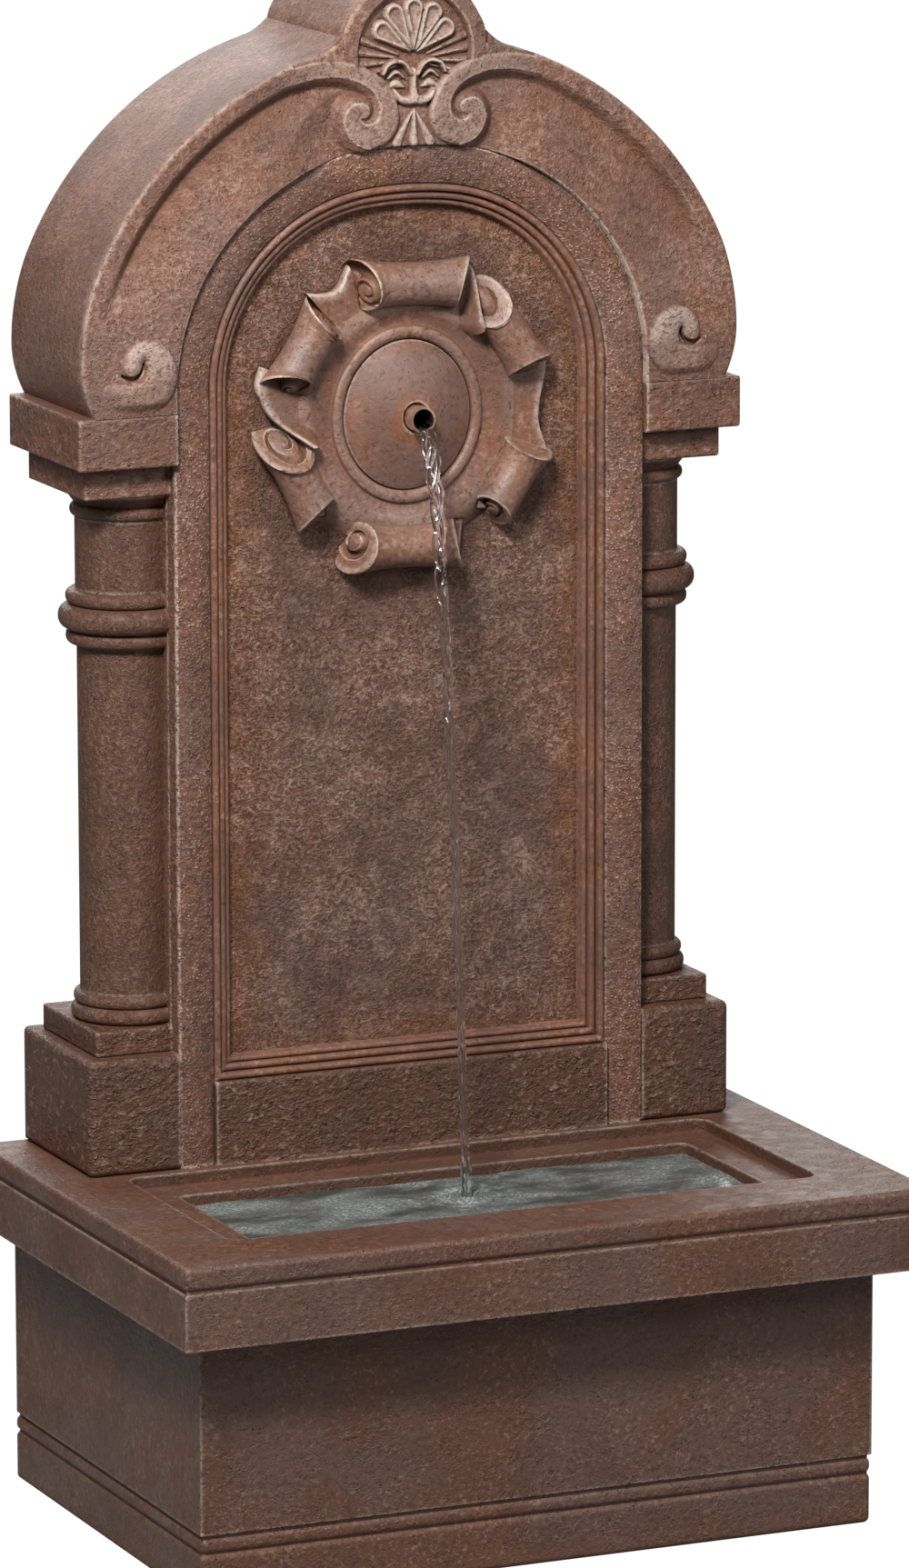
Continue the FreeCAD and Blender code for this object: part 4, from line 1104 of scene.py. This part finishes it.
    def ring(self):
        """The low bead round the disc and the collar that runs out under the rolls."""
        inner = self.disc_radius
        profile = [(inner, 0.002), (inner, 0.0080), (inner + 0.0006, 0.0105)]
        for turn in np.linspace(math.pi * 0.98, 0.0, 13):
            profile.append((inner + 0.0062 + 0.0054 * math.cos(turn), 0.0108 + 0.0046 * math.sin(turn)))
        profile += [(inner + 0.0128, 0.0104), *self.collar]
        self.turned(profile)

    def disc(self):
        """The shallow dome in the ring, with the hole that the copper tube comes through."""
        hole = radius_of("spout_tube") + 0.0003
        rim = self.disc_radius - 0.0009
        profile = [(hole, 0.012), (hole, 0.0320), (hole + 0.0006, 0.0328)]
        for share in np.linspace(0.03, 1.0, 36):
            out = hole + (rim - hole) * share
            profile.append((out, 0.0122 + 0.0235 * (1 - (out / rim) ** 1.7)))
        profile += [(rim + 0.0004, 0.0112), (rim + 0.0004, 0.0010)]
        self.turned(profile)

    def roll(self, angle, half, kinds):
        """One strap: its waisted outer wall and both of its ends."""
        turn = np.radians(np.linspace(0.0, 360.0, 121))
        share = np.linspace(-1.0, 1.0, 57)[:, None]
        ends = np.where(share > 0, kinds[1], kinds[3]) * self.flare
        tilt = np.where(share > 0, self.ends[kinds[0]][-1], self.ends[kinds[2]][-1])
        size = self.waist + (ends - self.waist) * np.abs(share) ** 2.2
        size = size - self.chamfer * smooth((np.abs(share) - 0.96) / 0.04)
        out, forward = size * np.sin(turn)[None, :], -size * np.cos(turn)[None, :]
        fallen = np.abs(share) ** 3 * self.lean(out, forward, tilt)
        along = np.sign(share) * (np.abs(share) * half - fallen)
        worn = 0.12 + 0.45 * smooth((np.abs(share) - 0.88) / 0.08)
        self.patch(self.at(angle, self.reach + out, along, self.axis + forward), brush=worn)
        for side, kind, scale in ((1, *kinds[:2]), (-1, *kinds[2:])):
            self.end_face(angle, half, side, self.ends[kind], scale * self.flare - self.chamfer)

    def lean(self, out, forward, tilt):
        """How far a strap's end falls back, along the strap, towards its front and its outer side."""
        return tilt * forward - 0.25 * out

    def end_face(self, angle, half, side, kind, radius):
        """The bevelled end of a strap with the groove that winds in between its hood and its curl."""
        hand, middle, curl, (start, sweep), hollow, dome, tilt = kind
        turn = np.radians(np.linspace(0.0, 360.0, 145))[None, :]
        share = np.linspace(0.0, 1.0, 47)[:, None]
        centre_out, centre_forward = middle[0] * radius, middle[1] * radius
        facing = centre_out * np.sin(turn) - centre_forward * np.cos(turn)
        shift = centre_out ** 2 + centre_forward ** 2
        border = -facing + np.sqrt(facing ** 2 - shift + radius ** 2)
        away = share * border
        out = hand * (centre_out + away * np.sin(turn))
        forward = centre_forward - away * np.cos(turn)
        depth = -dome * np.clip(1 - (away / (curl[0] * radius)) ** 2, 0, 1)
        carve = np.zeros_like(depth)
        for lap in range(3):
            wound = (np.degrees(turn) - start) % 360.0 + 360.0 * lap
            gone = np.clip(wound / sweep, 0, 1)
            inner = radius * (curl[0] + (curl[1] - curl[0]) * gone ** 1.2)
            free = np.clip((border - self.rim - inner) / 2, 0, None)
            opened = hollow * smooth((250.0 - wound) / 80.0)
            width = self.groove * (1 - 0.4 * gone) + free * opened
            near = np.abs(away - inner - width) / width
            ended = smooth((sweep - wound) / 40.0) * smooth(wound / 25.0 + 0.15)
            deep = 0.0058 * (1 - 0.4 * gone) + 0.75 * free * opened
            carve = np.maximum(carve, deep * np.clip(1 - near ** 2.4, 0, 1) * ended)
        depth = np.where(carve > 0, np.maximum(carve, depth), depth)
        worn = 0.10 + 0.50 * smooth((share - 0.76) / 0.16)
        along = side * (half - self.lean(out, forward, tilt) - depth)
        grid = self.at(angle, self.reach + out, along, self.axis + forward)
        # The grooves' depth gives painted shade through a share below 0
        self.patch(grid, brush=worn - carve * self.groove_shade)

    def valley(self, edge):
        """The scooped sheet between one strap's end and the next one's, and its thick free edge."""
        edge = flowing(edge, 5)
        angle, out, forward = np.radians(edge[:, 0]), edge[:, 1], edge[:, 2]
        root, root_forward = 0.092, 0.0108
        rows = []
        for share in np.linspace(0.0, 1.0, 21):
            middle = root + (out - root) * 0.55
            bulge = np.clip((forward - 0.017) / 0.018, 0, 1)
            dip = root_forward + (forward - root_forward) * (0.30 + 0.85 * bulge) + 0.0005
            weights = ((1 - share) ** 2, 2 * share * (1 - share), share ** 2)
            rows.append((
                weights[0] * root + weights[1] * middle + weights[2] * out,
                weights[0] * root_forward + weights[1] * dip + weights[2] * forward))
        for step_out, drop in self.rounding:
            rows.append((out + step_out, forward - drop))
        rows.append((out + 0.0010, np.full_like(out, -0.001)))
        grid = np.stack([self.at(angle, row_out, 0.0, row_forward) for row_out, row_forward in rows])
        worn = np.linspace(0.0, 1.0, len(rows))[:, None]
        self.patch(grid, brush=0.60 * smooth((worn - 0.66) / 0.12))


class WaterSettings(bpy.types.PropertyGroup):
    level: length_property("Level", "Drop from the bowl's rim to the pool", 0.022)
    speed: FloatProperty(
        name="Speed", description="How fast the water leaves the spout, in m/s", default=0.25, min=0.0)
    strand: length_property("Strand", "Radius of one strand of the stream", 0.0035)
    spread: length_property("Spread", "How far the strands lie apart at the spout", 0.0064)
    ripple: length_property("Ripple", "Height of the rings round the splash", 0.0016)


def clear_water():
    graph = Graph("water_clear")
    return graph.finish({
        "Base Color": opaque((0.97, 0.98, 0.98)), "Roughness": 0.02, "IOR": WATER_IOR,
        "Transmission Weight": 1.0, "Specular IOR Level": 0.9,
    })


def pool_water(splash):
    """Dark water with specks of foam that drift to the front and gather round the splash."""
    graph = Graph("water_pool")
    here = graph.place()
    x, y, _ = graph.axes(here)
    x, y = x - splash.x, y - splash.y
    away = (x * x + y * y).math("SQRT")
    drift = graph.noise(graph.place((1.0, 1.7, 1.0)), 13.0, 4.0, 0.55, 0.3)
    specks = graph.noise(here, 330.0, 3.0, 0.7)
    fine = graph.noise(here, 700.0, 2.0, 0.6)
    near_front = (y + 0.06).span(0.0, -0.06)
    foam = drift.span(0.36, 0.66) * 0.75 + away.span(0.050, 0.010) * 0.4 + near_front * 0.25
    foam = foam * (specks.span(0.46, 0.62) * 0.75 + fine.span(0.50, 0.66) * 0.45)
    colour = graph.mix(drift.span(0.32, 0.62), (0.040, 0.046, 0.041), (0.105, 0.118, 0.112))
    colour = graph.mix(foam * 0.8, colour, (0.42, 0.46, 0.45))
    waves = graph.noise(graph.place((1.0, 1.3, 1.0)), 120.0, 3.0, 0.6, 0.3)
    return graph.finish({
        "Base Color": colour, "Roughness": foam * 0.5 + 0.08, "IOR": WATER_IOR, "Specular IOR Level": 0.5,
        "Normal": graph.bump(waves, 0.0006),
    })


class FOUNTAIN_OT_water(bpy.types.Operator):
    """Fill the trough, and let the stream fall from the spout into it"""
    bl_idname = "fountain.water"
    bl_label = "Water"

    # Half width, front and back of the water in the trough, and its depth
    trough = (0.2566, -0.1386, 0.0391)
    depth = 0.012
    # From one ring round the splash to the next, and how far out they fade
    ring_length, ring_fade = 0.017, 0.040
    # Phase in turns and size of each strand of the stream
    strands = ((0.0, 1.0), (0.36, 0.85), (0.70, 0.70))
    # How far a strand falls while it winds round once and while it swells once
    winding, swelling = 0.085, 0.061
    # A strand's thickness as a share of its width
    flatness = 0.72
    # How far under the tube's middle the stream leaves it
    outlet_drop = 0.0062

    def execute(self, context):
        settings = context.scene.fountain_water
        x, z = middle_of("spout_tube")
        self.tip = Vector((x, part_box("spout_tube")[0].y, z))
        self.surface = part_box("bowl")[1].z - settings.level
        self.speed, self.strand, self.spread = settings.speed, settings.strand, settings.spread
        flight = math.sqrt(2 * (self.tip.z - self.surface) / GRAVITY)
        self.splash = Vector((self.tip.x, self.tip.y - self.speed * flight, self.surface))
        self.pool(settings.ripple)
        self.stream()
        return {"FINISHED"}

    def pool(self, ripple):
        """The water in the trough: a rippled top over a slab that ends under it."""
        half, front, back = self.trough
        x, y = np.linspace(-half, half, 257), np.linspace(front, back, 91)
        x, y = np.meshgrid(x, y)
        away = np.hypot(x - self.splash.x, y - self.splash.y)
        rings = ripple * np.cos(away * 2 * math.pi / self.ring_length) * np.exp(-away / self.ring_fade)
        swell = 0.0005 * np.sin(x * 61 + y * 37) + 0.0004 * np.sin(y * 83 - x * 29 + 1.0)
        crown = 0.0045 * np.exp(-((away - 0.011) / 0.0045) ** 2) - 0.003 * np.exp(-(away / 0.008) ** 2)
        top = np.stack([x, y, self.surface + rings + swell + crown], -1)
        bottom = top.copy()
        bottom[..., 2] = self.surface - self.depth
        rims = (
            (top[0], bottom[0]), (top[-1], bottom[-1]),
            (top[:, 0], bottom[:, 0]), (top[:, -1], bottom[:, -1]),
        )
        points, faces = [], []
        for grid in (top, bottom, *map(np.stack, rims)):
            faces += grid_faces(*grid.shape[:2], len(points))
            points += list(grid.reshape(-1, 3))
        still_piece("pool_water", points, faces, pool_water(self.splash), WATER_EDGE, {})

    def course(self):
        """The line that the stream follows, and how far it has fallen at each of its points."""
        outlet_z = self.tip.z - self.outlet_drop
        fall = np.linspace(0.0, 1.0, 260) ** 0.8
        drop = fall * (outlet_z - self.surface + 0.003)
        y = self.tip.y - self.speed * np.sqrt(2 * drop / GRAVITY)
        z = outlet_z - drop
        run = np.linspace(0.024, 0.001, 12)
        y = np.concatenate([self.tip.y + run, y])
        z = np.concatenate([np.full_like(run, outlet_z), z])
        lead = np.concatenate([np.zeros_like(run), drop])
        return np.stack([np.full_like(y, self.tip.x), y, z], -1), lead

    def stream(self):
        """Strands that wind round each other and draw together as they fall."""
        centre, lead = self.course()
        ahead = np.gradient(centre, axis=0)
        ahead /= np.linalg.norm(ahead, axis=1)[:, None]
        side = np.array([1.0, 0.0, 0.0])
        up = np.cross(ahead, side)
        turn = np.linspace(0.0, 2 * math.pi, 20, endpoint=False)
        points, faces = [], []
        for phase, size in self.strands:
            wind = 2 * math.pi * (phase + lead / self.winding * (1 - 0.35 * lead))
            apart = self.spread * (0.32 + 0.68 * np.exp(-lead / 0.16)) * np.clip(0.55 + lead / 0.05, 0, 1)
            pulse = 1 + 0.22 * np.sin(2 * math.pi * (lead / self.swelling + phase))
            pulse = pulse + 0.10 * np.sin(lead * 300 + phase * 9)
            thick = self.strand * size * pulse * (0.74 + 0.26 * np.exp(-lead / 0.22))
            thick = thick * (1 + 0.7 * np.clip((lead - lead[-1] + 0.05) / 0.05, 0, 1))
            aside, ahead_up = apart * np.cos(wind), apart * 0.55 * np.sin(wind)
            middle = centre + side * aside[:, None] + up * ahead_up[:, None]
            thick = thick[:, None, None]
            ring = (
                side * (np.cos(turn)[None, :, None] * thick)
                + up[:, None, :] * (np.sin(turn)[None, :, None] * thick * self.flatness))
            grid = middle[:, None, :] + ring
            start = len(points)
            faces += grid_faces(*grid.shape[:2], start, closed=True) + end_faces(*grid.shape[:2], start)
            points += list(grid.reshape(-1, 3))
        still_piece("stream_water", points, faces, clear_water(), WATER_EDGE, {})


class FOUNTAIN_OT_stone(bpy.types.Operator):
    """Finish the plain cast blocks in stone"""
    bl_idname = "fountain.stone"
    bl_label = "Cast blocks"

    def execute(self, context):
        dress("back_panel", finish("stone_rough_field"))
        dress("apron", finish("stone_low"))
        for name in CAST_STONES:
            dress(name, finish("stone_cast"))
        for look, names in STONE_PAIRS.items():
            for name in names:
                for side in SIDES:
                    dress(f"{name}_{side}", finish(look))
        return {"FINISHED"}


class FOUNTAIN_OT_fittings(bpy.types.Operator):
    """Finish the spout, the hose, the pump and the small fittings"""
    bl_idname = "fountain.fittings"
    bl_label = "Fittings"

    def execute(self, context):
        copper = metal("copper_worn", (0.86, 0.62, 0.50), 0.28, 0.5)
        steel = metal("steel_stainless", (0.62, 0.62, 0.60), 0.22, 0.2)
        magnet = metal("magnet_ferrite", (0.05, 0.05, 0.055), 0.55, 0.3)
        hose = moulded("hose_vinyl", (0.045, 0.075, 0.060), 0.32, 0.00006)
        rubber = moulded("rubber_black", (0.022, 0.022, 0.022), 0.60, 0.00012)
        plastic = moulded("pump_plastic", (0.030, 0.032, 0.036), 0.42, 0.00010)
        dial = moulded("dial_plastic", (0.030, 0.105, 0.300), 0.36, 0.00006)
        ceramic = moulded("shaft_ceramic", (0.78, 0.76, 0.70), 0.18, 0.00002)
        ends = ("front", "rear")
        feet = [f"suction_foot_{side}_{end}" for side in SIDES for end in ends]
        bushes = [f"shaft_bush_{end}" for end in ends]
        clamps = [f"hose_clamp_{level}" for level in ("upper", "lower")]
        dowels = [f"panel_dowel_{side}" for side in SIDES]
        finishes = {
            copper: ("spout_tube", "spout_nut", "spout_elbow"),
            steel: (*clamps, *dowels),
            magnet: ("rotor_magnet",),
            hose: ("riser_hose",),
            rubber: ("drain_plug", "duct_stopper", "cable_gland", *bushes, *feet),
            plastic: ("pump_housing", "impeller", "impeller_cover", "strainer"),
            dial: ("flow_dial",),
            ceramic: ("pump_shaft",),
        }
        for material, names in finishes.items():
            for name in names:
                dress(name, material)
        return {"FINISHED"}


def area_light(name, place, target, size, power, colour):
    lamp = bpy.data.lights.new(name, "AREA")
    lamp.shape = "RECTANGLE"
    lamp.size, lamp.size_y = size
    lamp.energy = power
    lamp.color = colour
    holder = bpy.data.objects.new(name, lamp)
    holder.location = place
    holder.rotation_euler = (Vector(target) - Vector(place)).to_track_quat("-Z", "Y").to_euler()
    bpy.context.scene.collection.objects.link(holder)


class FOUNTAIN_OT_stage(bpy.types.Operator):
    """Set the floor, the light and the camera"""
    bl_idname = "fountain.stage"
    bl_label = "Studio"

    # The camera that looks at the part as the photograph does: place, angles in degrees and focal length
    eye = (-3.1878, -7.2794, 2.2850)
    azimuth, tilt, roll = -23.6747, 11.3508, -0.0982
    focal_length = 202.59

    # Place, aim, size and colour of each light; its power is the setting of the same name
    lamps = {
        "key": ((-1.35, -1.80, 2.85), (0.0, 0.1, 1.25), (0.6, 0.6), (1.0, 0.985, 0.96)),
        "fill": ((1.9, -2.7, 2.3), (0.0, 0.0, 1.2), (1.4, 1.4), (0.96, 0.98, 1.0)),
        "side": ((-2.2, -0.8, 2.7), (0.0, 0.1, 0.9), (1.2, 1.2), (0.90, 0.95, 1.0)),
        "rear": ((1.0, 3.6, 2.2), (0.0, 0.2, 0.7), (3.0, 2.0), (1.0, 0.99, 0.97)),
    }

    def execute(self, context):
        scene = context.scene
        settings = scene.fountain_stage
        scene.camera = self.camera()
        for name, (place, target, size, colour) in self.lamps.items():
            area_light(name, place, target, size, getattr(settings, name), colour)
        world = bpy.data.worlds.new("room")
        scene.world = world
        world.use_nodes = True
        world.node_tree.nodes["Background"].inputs["Color"].default_value = (1.0, 1.0, 1.0, 1.0)
        world.node_tree.nodes["Background"].inputs["Strength"].default_value = settings.air
        self.floor()
        scene.view_settings.view_transform = "Standard"
        return {"FINISHED"}

    def camera(self):
        lens = bpy.data.cameras.new("camera")
        lens.lens = self.focal_length
        lens.sensor_width = 36.0
        lens.clip_end = 100.0
        camera = bpy.data.objects.new("camera", lens)
        camera.location = self.eye
        azimuth, tilt, roll = (math.radians(a) for a in (self.azimuth, self.tilt, self.roll))
        aim = Euler((math.pi / 2 - tilt, 0.0, azimuth)).to_matrix()
        twist = Euler((0.0, 0.0, roll)).to_matrix()
        camera.rotation_euler = (aim @ twist).to_euler()
        bpy.context.scene.collection.objects.link(camera)
        return camera

    def floor(self):
        """White paper to the camera, and grey to the light that falls on the part."""
        reach, glow_share, glow_strength = 60.0, 0.72, 1.45
        mesh = bpy.data.meshes.new("floor")
        corners = [(-reach, -reach, 0.0), (reach, -reach, 0.0), (reach, reach, 0.0), (-reach, reach, 0.0)]
        mesh.from_pydata(corners, [], [(0, 1, 2, 3)])
        graph = Graph("floor_paper")
        seen = graph.add("ShaderNodeLightPath", {}, {}, "Is Camera Ray")
        grey, white = opaque((0.25, 0.25, 0.25)), opaque((1.0, 1.0, 1.0))
        paper = graph.add("ShaderNodeBsdfPrincipled", {}, {"Base Color": grey, "Roughness": 0.9})
        glow = graph.add("ShaderNodeEmission", {}, {"Color": white, "Strength": glow_strength})
        both = graph.add("ShaderNodeMixShader", {}, {0: seen * glow_share, 1: paper, 2: glow})
        graph.add("ShaderNodeOutputMaterial", {}, {"Surface": both})
        mesh.materials.append(graph.material)
        floor = bpy.data.objects.new("floor", mesh)
        bpy.context.scene.collection.objects.link(floor)


class FOUNTAIN_PT_panel(bpy.types.Panel):
    bl_idname = "FOUNTAIN_PT_panel"
    bl_label = "Wall fountain"
    bl_space_type = "VIEW_3D"
    bl_region_type = "UI"
    bl_category = "Fountain"

    def draw(self, context):
        layout = self.layout
        for group in SETTINGS:
            settings = getattr(context.scene, group)
            for name in settings.bl_rna.properties.keys():
                if name not in ("rna_type", "name"):
                    layout.prop(settings, name)
        for step in STEPS:
            layout.operator(step.bl_idname)


SETTINGS = {
    "fountain_stone": StoneSettings,
    "fountain_relief": ReliefSettings,
    "fountain_frame": FrameSettings,
    "fountain_cartouche": CartoucheSettings,
    "fountain_water": WaterSettings,
    "fountain_stage": StageSettings,
}
STEPS = (
    FOUNTAIN_OT_stage, FOUNTAIN_OT_stone, FOUNTAIN_OT_arch, FOUNTAIN_OT_crest, FOUNTAIN_OT_frame,
    FOUNTAIN_OT_cartouche, FOUNTAIN_OT_fittings, FOUNTAIN_OT_water,
)


def register():
    for kind in (*SETTINGS.values(), *STEPS, FOUNTAIN_PT_panel):
        bpy.utils.register_class(kind)
    for group, kind in SETTINGS.items():
        setattr(bpy.types.Scene, group, PointerProperty(type=kind))


def unregister():
    for group in SETTINGS:
        delattr(bpy.types.Scene, group)
    for kind in reversed((*SETTINGS.values(), *STEPS, FOUNTAIN_PT_panel)):
        bpy.utils.unregister_class(kind)


def main():
    register()
    bpy.ops.fountain.stage()
    bpy.ops.fountain.stone()
    bpy.ops.fountain.arch()
    bpy.ops.fountain.crest()
    bpy.ops.fountain.frame()
    bpy.ops.fountain.cartouche()
    bpy.ops.fountain.fittings()
    bpy.ops.fountain.water()


if __name__ == "__main__":
    main()
